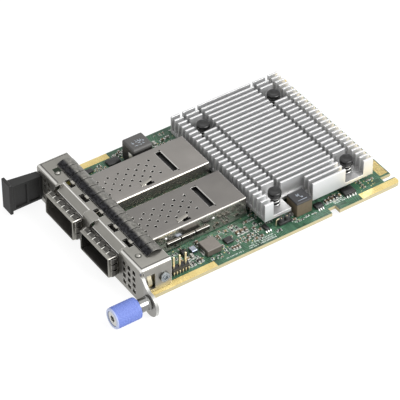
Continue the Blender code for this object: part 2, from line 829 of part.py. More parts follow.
def heatsink():
    bm = bmesh.new()
    extrude(bm, comb_outline(), sink_back - sink_front, "XZ", sink_front)
    sink = finish("heatsink", bm, sink_aluminium())
    floor = sink_bottom + sink_base

    crossing = bmesh.new()
    for start in cut_starts:
        add_box(crossing, (sink_left - MM, start, floor), (sink_right + MM, start + cut_width, sink_top + MM))
    cut(sink, crossing, "cross_cuts")

    # each pocket takes three fins between two cross cuts, and the right ones run out to the side
    pockets = bmesh.new()
    reach = fin_pitch() * pocket_fins / 2
    for name, (x, _) in pin_places().items():
        first, last = cut_starts[:2] if name.startswith("front") else cut_starts[2:]
        edge = sink_right + MM if name.endswith("right") else x + reach
        add_box(pockets, (x - reach, first + cut_width / 2, floor), (edge, last + cut_width / 2, sink_top + MM))
    notch_left = fin_centre(fin_count - choke_notch_fins) - fin_pitch() / 2
    cut(sink, pockets, "pockets")

    lower = bmesh.new()
    add_box(lower, (notch_left, choke_notch_front, sink_bottom - MM),
            (sink_right + MM, choke_notch_back, sink_top + MM))
    for x, y in pin_places().values():
        add_cylinder(lower, (x, y, sink_bottom - MM), pin_shank_radius + running_gap, sink_base + 2 * MM, "Z")
    cut(sink, lower, "choke_notch")
    return sink


def push_pin(name, x, y):
    """Moulded pin: domed head, collar that guides the spring, shank and a barbed tip below the board."""
    head_low = pin_head_top - pin_head_height
    barb = -board_thickness - running_gap
    dome = [(pin_head_radius * math.sin(math.radians(a)), pin_head_top - 0.5 * MM * (1 - math.cos(math.radians(a))))
            for a in (0, 45, 75)]
    profile = dome + [(pin_head_radius, pin_head_top - 0.6 * MM), (pin_head_radius, head_low),
                      (pin_collar_radius * 0.8, head_low), (pin_collar_radius * 0.8, head_low - 0.8 * MM),
                      (pin_shank_radius, head_low - 0.8 * MM), (pin_shank_radius, barb),
                      (pin_barb_radius, barb - 0.1 * MM), (pin_shank_radius * 0.5, pin_tip), (0.0, pin_tip)]
    finish(f"push_pin_{name}", turned(profile, 16), black_plastic(), location=(x, y, 0), smooth=35)


def pin_spring(name, x, y):
    base = sink_bottom + sink_base + close_gap
    height = pin_head_top - pin_head_height - close_gap - base
    spring = coil(pin_spring_radius, pin_spring_wire, height, pin_spring_turns)
    finish(f"pin_spring_{name}", spring, bright_metal(), location=(x, y, base), smooth=60)


def processor():
    """Chip package, its metal lid and the soft pad that fills the gap to the heatsink."""
    left, right = (fin_centre(column) for column in pin_columns)
    centre = ((left + right) / 2, sum(pin_rows) / 2)

    def slab(name, size, low, high, skin, edge):
        half = size / 2
        bm = bevelled_box((centre[0] - half, centre[1] - half, low), (centre[0] + half, centre[1] + half, high),
                          edge, 1, lambda a, b: abs(a.z - b.z) > 0.3 * MM)
        finish(name, bm, skin)

    package_top = seat_gap + package_thickness
    lid_low = package_top + close_gap
    pad_low = lid_low + lid_thickness + close_gap
    slab("processor_package", package_size, seat_gap, package_top, board_green(), 0.4 * MM)
    slab("processor_lid", lid_size, lid_low, lid_low + lid_thickness, bright_metal(), 0.8 * MM)
    slab("thermal_pad", pad_size, pad_low, sink_bottom - close_gap,
         material("thermal_pad", (0.45, 0.45, 0.5), 0.8), 0.5 * MM)


# Thumbscrew

def to_rear():
    """Rotation that lays a piece turned about Z along Y, its top towards the rear."""
    return (-math.pi / 2, 0.0, 0.0)


def knob_front():
    return -ferrule_length - knob_length


def ferrule_hole():
    """Radius of the ear's hole that the ferrule's neck is pressed into."""
    return ferrule_radius


def ferrule():
    front = -ferrule_length
    foot = ferrule_radius + ferrule_foot
    neck = ferrule_hole() - close_gap
    end = ear_sheet + close_gap
    profile = [(ferrule_lip_bore, front), (ferrule_radius - 0.2 * MM, front), (ferrule_radius, front + 0.2 * MM),
               (ferrule_radius, -0.8 * MM), (foot, -0.5 * MM), (foot, -close_gap), (neck, -close_gap), (neck, end),
               (ferrule_bore, end), (ferrule_bore, front + ferrule_lip), (ferrule_lip_bore, front + ferrule_lip)]
    finish("thumbscrew_ferrule", turned(profile, 20), bright_metal(), location=(screw_x, 0, screw_z),
           rotation=to_rear(), smooth=35)


def knob():
    """Moulded cup that slides over the ferrule, with a fine straight knurl around it."""
    front = knob_front()
    back = -ferrule_length
    bore = ferrule_radius + running_gap
    seat = screw_head_radius + close_gap
    neck = shank_radius + close_gap
    knurl_start = front + 1.0 * MM
    knurl_end = back - 0.9 * MM
    valley = knob_radius - knob_ridge_height
    # each ring: radius on the ridges, radius in the valleys, distance along the axis
    rings = [(seat, seat, front), (knob_radius - 0.9 * MM, knob_radius - 0.9 * MM, front),
             (valley, valley, front + 0.5 * MM), (knob_radius, valley, knurl_start),
             (knob_radius, valley, knurl_end), (valley, valley, back - 0.4 * MM),
             (valley - 0.4 * MM, valley - 0.4 * MM, back), (bore, bore, back),
             (bore, bore, back - knob_bore_depth), (neck, neck, back - knob_bore_depth),
             (neck, neck, front + screw_head_length), (seat, seat, front + screw_head_length)]
    bm = bmesh.new()
    steps = 2 * knob_ridges
    loops = []
    for ridge, groove, height in rings:
        loop = []
        for i in range(steps):
            radius = groove if i % 2 else ridge
            angle = math.tau * i / steps
            loop.append(bm.verts.new((radius * math.cos(angle), radius * math.sin(angle), height)))
        loops.append(loop)
    for before, after in zip(loops, loops[1:] + loops[:1]):
        for i in range(steps):
            k = (i + 1) % steps
            bm.faces.new((before[i], before[k], after[k], after[i]))
    finish("thumbscrew_knob", bm, material("blue_plastic", (0.2, 0.3, 0.78), 0.5), location=(screw_x, 0, screw_z),
           rotation=to_rear(), smooth=25)


def thumbscrew_screw():
    """Screw moulded into the knob: drive recess, shank, captive shoulder and threaded tip."""
    front = knob_front()
    head = screw_head_radius
    inset = 0.1 * MM
    shoulder = -ferrule_length + ferrule_lip + running_gap
    profile = [(0.0, front + screw_recess_depth), (screw_recess_radius * 0.6, front + screw_recess_depth),
               (screw_recess_radius, front + inset), (head - 0.3 * MM, front + inset), (head, front + 0.4 * MM),
               (head, front + screw_head_length - close_gap), (shank_radius, front + screw_head_length - close_gap),
               (shank_radius, shoulder), (shoulder_radius, shoulder),
               (shoulder_radius, shoulder + shoulder_length), (shank_radius, shoulder + shoulder_length + 0.3 * MM),
               (shank_radius, screw_tip - 0.5 * MM), (shank_radius - 0.5 * MM, screw_tip), (0.0, screw_tip)]
    finish("thumbscrew_screw", turned(profile, 20), bright_metal(), location=(screw_x, 0, screw_z),
           rotation=to_rear(), smooth=35)


def release_spring():
    """Spring in the knob that pushes it clear of the ferrule."""
    length = knob_bore_depth - 2 * close_gap
    radius = (ferrule_lip_bore + ferrule_radius) / 2 + 0.1 * MM
    spring = coil(radius, release_spring_wire, length, release_spring_turns)
    finish("thumbscrew_spring", spring, spring_metal(),
           location=(screw_x, -ferrule_length - knob_bore_depth + close_gap, screw_z), rotation=to_rear(), smooth=60)


# Pull tab

def tab_screw_x():
    return (tab_left_root + tab_right) / 2


def tab_screw_heights():
    return (tab_screw_low, tab_screw_low + tab_screw_pitch)


def pull_tab():
    """Moulded bar in front of the faceplate that widens to a grip plate, its inner side recessed around a rib."""
    root = -seat_gap
    end = -tab_reach
    bm = bmesh.new()
    foot = [bm.verts.new(p) for p in ((tab_left_root, root, tab_low_root), (tab_right, root, tab_low_root),
                                      (tab_right, root, tab_high_root), (tab_left_root, root, tab_high_root))]
    tip = [bm.verts.new(p) for p in ((tab_left, end, tab_low_end), (tab_right, end, tab_low_end),
                                     (tab_right, end, tab_high_end), (tab_left, end, tab_high_end))]
    bm.faces.new(foot)
    bm.faces.new(tip)
    for i in range(4):
        bm.faces.new((foot[i], foot[i - 1], tip[i - 1], tip[i]))
    tab = finish("pull_tab", bm, black_plastic(), smooth=20)

    grip_low = tab_low_end - grip_below
    grip_high = tab_high_end + grip_above
    plate = bevelled_box((tab_right - grip_width + 0.3 * MM, end - grip_thickness + 0.4 * MM, grip_low),
                         (tab_right + 0.3 * MM, end + 0.4 * MM, grip_high), 0.25 * MM, 1)
    cut(tab, plate, "grip", "UNION")

    slope = (tab_high_end - tab_high_root) / (root - end)
    recess = bmesh.new()
    spans = ((end + 1.6 * MM, tab_rib_y - tab_rib_width / 2), (tab_rib_y + tab_rib_width / 2, root - tab_border))
    for start, stop in spans:
        panel = [(start, tab_low_end + tab_border), (stop, tab_low_end + tab_border),
                 (stop, tab_high_root - tab_border + slope * (root - stop)),
                 (start, tab_high_root - tab_border + slope * (root - start))]
        extrude(recess, panel, tab_recess + MM, "YZ", tab_right - tab_recess)
    cut(tab, recess, "recess")

    holes = bmesh.new()
    for z in tab_screw_heights():
        add_cylinder(holes, (tab_screw_x(), root - tab_screw_length, z), tab_screw_radius + close_gap,
                     tab_screw_length + MM, "Y", 10)
    cut(tab, holes, "holes")
    return tab


def tab_screws():
    """Two screws from behind the faceplate hold the pull tab."""
    for name, z in zip(("lower", "upper"), tab_screw_heights()):
        seat = sheet + close_gap
        profile = [(0.0, seat + 1.0 * MM), (tab_screw_head * 0.7, seat + 1.0 * MM), (tab_screw_head, seat + 0.6 * MM),
                   (tab_screw_head, seat), (tab_screw_radius, seat), (tab_screw_radius, -tab_screw_length + 0.6 * MM),
                   (0.0, -tab_screw_length + 0.2 * MM)]
        finish(f"pull_tab_screw_{name}", turned(profile, 12), bright_metal(), location=(tab_screw_x(), 0, z),
               rotation=to_rear(), smooth=35)


# Blocks and screws that fasten the faceplate's flanges

def mounting_blocks():
    """A threaded block stands on the board inside each flange and takes its screw."""
    for side, wall in (("left", plate_left), ("right", plate_right)):
        way = math.copysign(1.0, wall)
        face = wall - way * (sheet + running_gap)
        low_x, high_x = sorted((face, face - way * block_width))
        bm = bevelled_box((low_x, block_front, seat_gap), (high_x, block_back, block_top), 0.3 * MM, 1,
                          lambda a, b: abs(a.z - b.z) > MM)
        block = finish(f"{side}_mounting_block", bm, gold_metal())
        bore = bmesh.new()
        add_cylinder(bore, (low_x - MM, flange_screw_y, flange_screw_z), flange_screw_radius + close_gap,
                     block_width + 2 * MM, "X", 12)
        cut(block, bore, "bore")
        seat = close_gap
        profile = [(0.0, seat + 0.5 * MM), (0.6 * MM, seat + 0.5 * MM), (0.9 * MM, seat + 1.3 * MM),
                   (flange_screw_head - 0.5 * MM, seat + 1.3 * MM), (flange_screw_head, seat + 0.7 * MM),
                   (flange_screw_head, seat), (flange_screw_radius, seat),
                   (flange_screw_radius, -flange_screw_length + 0.4 * MM), (0.0, -flange_screw_length)]
        finish(f"{side}_flange_screw", turned(profile, 16), bright_metal(),
               location=(wall, flange_screw_y, flange_screw_z), rotation=(0, way * math.pi / 2, 0), smooth=35)


# Small parts on the board

def chip(name, centre, size, skin, edge=0.2 * MM):
    """A rectangular part soldered to the board, its upper edges broken."""
    low = (centre[0] - size[0] / 2, centre[1] - size[1] / 2, seat_gap)
    high = (centre[0] + size[0] / 2, centre[1] + size[1] / 2, seat_gap + size[2])
    bm = bevelled_box(low, high, edge, 1, lambda a, b: max(a.z, b.z) > low[2] + size[2] / 2)
    finish(name, bm, skin)


def power_chokes():
    ferrite = material("ferrite_grey", (0.3, 0.28, 0.26), 0.6)
    dark = material("ferrite_black", (0.06, 0.06, 0.06), 0.5)
    chip("choke_front_right", choke_front_centre, choke_front_size, ferrite, 0.3 * MM)
    chip("choke_rear_right", choke_rear_centre, choke_rear_size, dark, 0.3 * MM)
    chip("choke_left", choke_left_centre, choke_left_size, ferrite, 0.3 * MM)


def pin_header():
    """A row of square pins in a moulded base whose corners are broken off."""
    wide = header_pitch / 2
    long = header_pins * header_pitch / 2
    bm = bevelled_box((header_x - wide, header_y - long, seat_gap),
                      (header_x + wide, header_y + long, seat_gap + header_height), 0.4 * MM, 1,
                      lambda a, b: abs(a.z - b.z) > MM)
    base = finish("header_base", bm, black_plastic())
    places = [header_y + header_pitch * (i - (header_pins - 1) / 2) for i in range(header_pins)]
    holes = bmesh.new()
    reach = header_pin / 2 + close_gap
    for y in places:
        add_box(holes, (header_x - reach, y - reach, -MM), (header_x + reach, y + reach, header_height + MM))
    cut(base, holes, "holes")
    half = header_pin / 2
    for i, y in enumerate(places):
        bm = bevelled_box((header_x - half, y - half, seat_gap), (header_x + half, y + half, header_pin_top),
                          0.15 * MM, 1, lambda a, b: min(a.z, b.z) > MM)
        finish(f"header_pin_{i + 1}", bm, gold_metal())


def small_parts():
    dark = material("chip_black", (0.07, 0.07, 0.07), 0.5)
    ceramic = material("capacitor_tan", (0.45, 0.33, 0.22), 0.5)
    chip("regulator_chip", regulator_centre, regulator_size, dark)
    chip("crystal", crystal_centre, crystal_size, bright_metal())
    for i in range(capacitor_count):
        place = (capacitor_first[0], capacitor_first[1] + capacitor_pitch * i)
        chip(f"capacitor_{i + 1}", place, capacitor_size, ceramic, 0.1 * MM)


def build():
    clear_scene()
    circuit_board()
    faceplate()
    rivets()
    top_gasket()
    side_gaskets()
    for side, centre in port_centres().items():
        cage(side, centre)
        port_gasket(side, centre)
        port_connector(side, centre)
    processor()
    heatsink()
    for name, (x, y) in pin_places().items():
        push_pin(name, x, y)
        pin_spring(name, x, y)
    ferrule()
    knob()
    thumbscrew_screw()
    release_spring()
    pull_tab()
    tab_screws()
    mounting_blocks()
    power_chokes()
    pin_header()
    small_parts()


build()
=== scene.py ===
# Looks of a mezzanine network card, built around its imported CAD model
import json
import math

import bmesh
import bpy
import numpy as np
from mathutils import Matrix, Vector


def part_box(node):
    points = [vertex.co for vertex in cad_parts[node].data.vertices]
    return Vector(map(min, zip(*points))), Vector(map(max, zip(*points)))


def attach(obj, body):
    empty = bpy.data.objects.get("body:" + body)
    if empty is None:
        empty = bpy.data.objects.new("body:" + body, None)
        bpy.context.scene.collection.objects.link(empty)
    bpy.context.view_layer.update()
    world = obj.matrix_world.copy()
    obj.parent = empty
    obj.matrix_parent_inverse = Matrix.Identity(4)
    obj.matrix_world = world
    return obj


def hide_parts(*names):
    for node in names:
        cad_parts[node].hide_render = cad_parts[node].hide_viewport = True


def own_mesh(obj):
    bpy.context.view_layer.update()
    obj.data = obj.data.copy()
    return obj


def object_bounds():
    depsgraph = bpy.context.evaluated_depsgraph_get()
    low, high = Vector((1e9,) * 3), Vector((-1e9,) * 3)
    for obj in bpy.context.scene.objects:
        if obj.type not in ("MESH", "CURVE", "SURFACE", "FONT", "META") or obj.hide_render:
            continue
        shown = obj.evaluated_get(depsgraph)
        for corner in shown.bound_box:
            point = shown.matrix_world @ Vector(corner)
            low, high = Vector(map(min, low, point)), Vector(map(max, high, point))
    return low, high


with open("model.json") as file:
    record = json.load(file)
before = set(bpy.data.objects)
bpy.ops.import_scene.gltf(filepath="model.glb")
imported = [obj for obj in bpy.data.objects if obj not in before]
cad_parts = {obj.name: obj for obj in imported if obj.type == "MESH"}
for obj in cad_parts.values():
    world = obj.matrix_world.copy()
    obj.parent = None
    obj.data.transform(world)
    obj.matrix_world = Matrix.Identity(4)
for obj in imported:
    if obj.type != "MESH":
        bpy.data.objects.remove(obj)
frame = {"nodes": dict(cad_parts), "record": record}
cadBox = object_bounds()
nodes = frame["nodes"]
mm = 0.001  # places and sizes are in millimetres, and this turns them into metres
print("frame loaded,", len(nodes), "nodes")


# Meshes from arrays: a shape is a pair, its points in metres and a list of face arrays

# Joins shapes, each one's faces shifted by the number of points before it
def joined(shapes):
    points, faces, start = [], [], 0
    for verts, groups in shapes:
        points.append(verts)
        faces += [group + start for group in groups]
        start += len(verts)
    return np.concatenate(points), faces


# One copy of a shape per row of offsets, all in one step
def repeated(shape, offsets):
    verts, groups = shape
    offsets = np.asarray(offsets, float).reshape(-1, 3) * mm
    shift = np.arange(len(offsets))[:, None, None] * len(verts)
    return ((verts[None] + offsets[:, None]).reshape(-1, 3),
            [(group[None] + shift).reshape(-1, group.shape[1]) for group in groups])


# Offsets along one axis, 0 for X, 1 for Y and 2 for Z: each place times the axis's unit vector
def rowOf(places, axis):
    return np.asarray(places, float)[:, None] * np.eye(3)[axis]


# Middle of a row of evenly spaced places plus and minus half its steps
def spaced(count, pitch, middle=0.0):
    return middle + pitch * (np.arange(count) - (count - 1) / 2)


# Places from x, y and z, each spread over the row or grid that they share
def placesOf(x, y, z):
    return np.stack(np.broadcast_arrays(x, y, z), -1)


# Quads between neighbours of a rows by columns grid; either way may close on itself
def gridFaces(rows, columns, closeRows=False, closeColumns=False):
    r = np.arange(rows if closeRows else rows - 1)[:, None]
    c = np.arange(columns if closeColumns else columns - 1)[None, :]
    nextRow, nextColumn = (r + 1) % rows, (c + 1) % columns
    return np.stack([(r * columns + c).ravel(), (r * columns + nextColumn).ravel(),
                     (nextRow * columns + nextColumn).ravel(), (nextRow * columns + c).ravel()], 1)


# Sheet of even thickness: a grid of places, the same grid moved along its normals, and a rim of quads between
# their borders. A ring closes on itself along the columns and has a rim at its two ends only
def sheet(grid, thickness, ring=False):
    grid = grid * mm
    rows, columns = grid.shape[:2]
    along = np.gradient(grid, axis=0)
    around = (np.roll(grid, -1, 1) - np.roll(grid, 1, 1)) if ring else np.gradient(grid, axis=1)
    normal = np.cross(along, around)
    normal /= np.linalg.norm(normal, axis=2, keepdims=True) + 1e-12
    verts = np.concatenate([grid.reshape(-1, 3), (grid - normal * (thickness * mm)).reshape(-1, 3)])
    index = np.arange(rows * columns).reshape(rows, columns)
    faces = gridFaces(rows, columns, closeColumns=ring)
    if ring:
        borders = [np.append(index[0], index[0, 0]), np.append(index[-1], index[-1, 0])]
    else:
        borders = [np.concatenate([index[0], index[1:, -1], index[-1, -2::-1], index[-2::-1, 0]])]
    rim = [np.stack([b[:-1], b[1:], b[1:] + rows * columns, b[:-1] + rows * columns], 1) for b in borders]
    return verts, [np.concatenate([faces, faces[:, ::-1] + rows * columns] + rim)]


# Outline of (radius, height) pairs turned about an axis; radius 0 closes to a point when doubles merge. A ring's
# outline comes back to its first pair
def turned(profile, steps, axis="Z", centre=(0, 0, 0), ring=False):
    profile = np.asarray(profile, float) * mm
    angle = np.arange(steps) * math.tau / steps
    circle = np.stack([np.cos(angle), np.sin(angle)], 1)
    points = np.concatenate([profile[:, None, :1] * circle[None], np.repeat(profile[:, None, 1:], steps, 1)], 2)
    order = {"Z": (0, 1, 2), "Y": (0, 2, 1), "X": (2, 1, 0)}[axis]
    return points.reshape(-1, 3)[:, order] + np.asarray(centre) * mm, [gridFaces(len(profile), steps, ring, True)]


# Turned shape whose radius may also change with the angle: radii holds one row per place along X or Y
def lobed(radii, places, axis, centre, ring=False):
    steps = radii.shape[1]
    angle = np.arange(steps) * math.tau / steps
    one, two = radii * np.cos(angle), radii * np.sin(angle)
    deep = np.broadcast_to(np.asarray(places)[:, None], radii.shape)
    grid = np.stack([deep, one, two] if axis == "X" else [one, deep, two], 2)
    return (grid.reshape(-1, 3) + np.array(centre)) * mm, [gridFaces(len(radii), steps, ring, True)]


# Tube along a path: rings across the path's direction, with both ends closed to a point
def tube(path, radius, sides):
    path = np.asarray(path, float) * mm
    radius = np.full(len(path), radius) * mm
    path = np.concatenate([path[:1], path, path[-1:]])
    radius = np.concatenate([[1e-9], radius, [1e-9]])
    way = np.gradient(path, axis=0)
    way[0], way[-1] = way[1], way[-2]
    way /= np.linalg.norm(way, axis=1, keepdims=True) + 1e-12
    side = np.cross(way, (0.031, 0.017, 1.0))  # nearly upright, but along no path here
    side /= np.linalg.norm(side, axis=1, keepdims=True) + 1e-12
    up = np.cross(side, way)
    angle = np.arange(sides) * math.tau / sides
    ring = side[:, None] * np.cos(angle)[None, :, None] + up[:, None] * np.sin(angle)[None, :, None]
    points = path[:, None] + ring * radius[:, None, None]
    return points.reshape(-1, 3), [gridFaces(len(path), sides, closeColumns=True)]


cornerSigns = np.array([(x, y, z) for x in (-1, 1) for y in (-1, 1) for z in (-1, 1)], float)
boxPoints = 3 * len(cornerSigns)


# Template of a box with broken edges: three points per corner, six sides, twelve edge strips, eight corner triangles
def boxTemplate():
    index = {tuple(signs): 3 * i for i, signs in enumerate(cornerSigns.astype(int).tolist())}

    def corner(axis, sign, u, v):
        place = [0, 0, 0]
        place[axis], place[(axis + 1) % 3], place[(axis + 2) % 3] = sign, u, v
        return index[tuple(place)]

    quads = []
    for axis in range(3):
        b, c = (axis + 1) % 3, (axis + 2) % 3
        for sign in (-1, 1):
            quads.append([corner(axis, sign, u, v) + axis for u, v in ((-1, -1), (1, -1), (1, 1), (-1, 1))])
        for u in (-1, 1):
            for v in (-1, 1):
                near, far = corner(axis, -1, u, v), corner(axis, 1, u, v)
                quads.append([near + b, far + b, far + c, near + c])
    return np.array(quads), np.arange(boxPoints).reshape(-1, 3)


boxQuads, boxTriangles = boxTemplate()


# Boxes with broken edges: on each axis a point sits on the face, and on the others it is drawn in by the rim
def softBoxes(centres, sizes, rim):
    centres = np.atleast_2d(np.asarray(centres, float)) * mm
    halves = np.broadcast_to(np.asarray(sizes, float), centres.shape) * mm / 2
    rim = np.minimum(rim * mm, halves.min(1) * 0.45)
    inset = 1 - np.eye(3)
    points = cornerSigns[None, :, None, :] * (halves[:, None, None, :] - inset[None, None] * rim[:, None, None, None])
    points = (points + centres[:, None, None, :]).reshape(-1, 3)
    shift = np.arange(len(centres))[:, None, None] * boxPoints
    return points, [(boxQuads[None] + shift).reshape(-1, 4), (boxTriangles[None] + shift).reshape(-1, 3)]


# Flat bars between pairs of points: a corner lies half the width beside each end, once low and once high
def bars(starts, ends, width, low, high):
    starts, ends = np.asarray(starts, float), np.asarray(ends, float)
    way = ends - starts
    way /= np.linalg.norm(way, axis=1, keepdims=True) + 1e-9
    side = np.stack([-way[:, 1], way[:, 0]], 1) * width / 2
    ring = np.stack([starts - side, ends - side, ends + side, starts + side], 1)
    flat = np.concatenate([np.concatenate([ring, np.full((*ring.shape[:2], 1), z)], 2) for z in (low, high)], 1)
    quads = np.array([(0, 1, 2, 3), (4, 5, 6, 7), (0, 1, 5, 4), (1, 2, 6, 5), (2, 3, 7, 6), (3, 0, 4, 7)])
    shift = np.arange(len(starts))[:, None, None] * 8
    return flat.reshape(-1, 3) * mm, [(quads[None] + shift).reshape(-1, 4)]


# Turns a shape about Z through an angle in degrees, then moves it
def placed(shape, angle=0.0, offset=(0, 0, 0)):
    c, s = math.cos(math.radians(angle)), math.sin(math.radians(angle))
    return shape[0] @ np.array(((c, s, 0), (-s, c, 0), (0, 0, 1))) + np.asarray(offset) * mm, shape[1]


# A node's lowest and highest corners at rest
def boxOf(node):
    return [np.array(corner) * 1000 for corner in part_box(node)]


# Distances in metres and angles in degrees
meshSettings = {"merge": 2e-8, "nodeMerge": 2e-6, "flatAngle": 0.6, "edgeAngle": 32, "edgeSegments": 2}


# Puts a shape in a new object, merges doubles, turns its faces outwards. The piece wears the given look, and tint
# is one number per point
def makePiece(name, shape, look, body="card", smooth=35, replaces=(), bevel=None, tint=None):
    verts, groups = shape
    mesh = bpy.data.meshes.new(name)
    mesh.from_pydata(verts, [], [face for group in groups for face in group.tolist()])
    if tint is not None:
        mesh.attributes.new("tint", "FLOAT", "POINT").data.foreach_set("value", np.asarray(tint, np.float32))
    bm = bmesh.new()
    bm.from_mesh(mesh)
    bmesh.ops.remove_doubles(bm, verts=bm.verts, dist=meshSettings["merge"])
    bmesh.ops.dissolve_degenerate(bm, edges=bm.edges, dist=meshSettings["merge"])
    bmesh.ops.recalc_face_normals(bm, faces=bm.faces)
    bm.to_mesh(mesh)
    bm.free()
    return dressed(name, mesh, look, body, smooth, replaces, bevel)


# Links a mesh as a piece: material, shading, optional bevel and body, and hides the nodes it stands for
def dressed(name, mesh, look, body, smooth, replaces, bevel):
    piece = bpy.data.objects.new(name, mesh)
    bpy.context.scene.collection.objects.link(piece)
    mesh.materials.append(looks[look])
    mesh.shade_smooth()
    if smooth:
        mesh.set_sharp_from_angle(angle=math.radians(smooth))
    if bevel:
        soft = piece.modifiers.new("edges", "BEVEL")
        soft.width = bevel * mm
        soft.segments = meshSettings["edgeSegments"]
        soft.limit_method = "ANGLE"
        soft.angle_limit = math.radians(meshSettings["edgeAngle"])
        soft.use_clamp_overlap = True
        soft.harden_normals = True
    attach(piece, body)
    if replaces:
        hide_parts(*replaces)
    return piece


# Copies a node's solid, merges its loose triangles into flat faces and rounds its edges
def softened(node, width):
    mesh = nodes[node].data.copy()
    mesh.materials.clear()
    bm = bmesh.new()
    bm.from_mesh(mesh)
    bmesh.ops.remove_doubles(bm, verts=bm.verts, dist=meshSettings["nodeMerge"])
    bmesh.ops.dissolve_limit(bm, angle_limit=math.radians(meshSettings["flatAngle"]), verts=bm.verts, edges=bm.edges)
    bm.to_mesh(mesh)
    bm.free()
    for attribute in [a.name for a in mesh.attributes if a.name.startswith("custom_normal")]:
        mesh.attributes.remove(mesh.attributes[attribute])
    slot = slotOf[node]
    return dressed("soft_" + node, mesh, slot, "card", meshSettings["edgeAngle"], (node,), width)


# Materials

# Operator of a wire: adds one Math node, with its two values swapped for a reflected form
def operator(operation, swapped=False):
    return lambda wire, other: wire.shop.maths(operation, *((other, wire) if swapped else (wire, other)))


# A node socket that takes part in arithmetic
class Wire:
    def __init__(self, shop, socket):
        self.shop = shop
        self.socket = socket

    __add__ = __radd__ = operator("ADD")
    __mul__ = __rmul__ = operator("MULTIPLY")
    __sub__, __rsub__ = operator("SUBTRACT"), operator("SUBTRACT", swapped=True)
    __truediv__, __rtruediv__ = operator("DIVIDE"), operator("DIVIDE", swapped=True)
    __gt__, __lt__ = operator("GREATER_THAN"), operator("LESS_THAN")


# sRGB hex to linear colour
def hexColour(code):
    values = [int(code[i:i + 2], 16) / 255 for i in (1, 3, 5)]
    return tuple(v / 12.92 if v <= 0.04045 else ((v + 0.055) / 1.055) ** 2.4 for v in values)


# Colour times a gain plus a lift, white at most
def scaledColour(code, gain, lift=0.0):
    return tuple(min(1.0, c * gain + lift) for c in hexColour(code))


# Adds nodes to one tree. node() makes any of them: its settings first, then the values or links of its sockets
class Shop:
    def __init__(self, tree):
        self.tree = tree

    # a value may be a wire, a number, a colour or its hex code
    def put(self, socket, value):
        if isinstance(value, Wire):
            self.tree.links.new(value.socket, socket)
            return
        if isinstance(value, str):
            value = hexColour(value)
        socket.default_value = (*value, 1.0) if socket.type == "RGBA" else value

    def node(self, kind, settings=None, inputs=None, out=0):
        made = self.tree.nodes.new(kind)
        for key, value in (settings or {}).items():
            if key == "stops":
                ramp = made.color_ramp
                while len(ramp.elements) < len(value):
                    ramp.elements.new(1.0)
                for element, (position, code) in zip(ramp.elements, value):
                    element.position = position
                    element.color = (*hexColour(code), 1.0)
            else:
                setattr(made, key, value)
        for key, value in (inputs or {}).items():
            self.put(made.inputs[key], value)
        return Wire(self, made.outputs[out])

    def maths(self, operation, a, b=0.0):
        return self.node("ShaderNodeMath", {"operation": operation}, {0: a, 1: b})

    def absolute(self, value):
        return self.maths("ABSOLUTE", value)

    # the larger of all masks
    def either(self, *masks):
        most = masks[0]
        for mask in masks[1:]:
            most = self.maths("MAXIMUM", most, mask)
        return most

    # smooth step of a value from low to high
    def step(self, value, low, high):
        return self.node("ShaderNodeMapRange", {"interpolation_type": "SMOOTHSTEP"},
                         {"Value": value, "From Min": low, "From Max": high})

    # 1 where a value lies between two limits, 0 elsewhere
    def between(self, value, low, high):
        return (value > low) * (value < high)

    # 1 for rays from the camera, from mirrors and through glass
    def seen(self):
        kinds = ("Is Camera Ray", "Is Glossy Ray", "Is Transmission Ray")
        return self.either(*(self.node("ShaderNodeLightPath", out=kind) for kind in kinds))


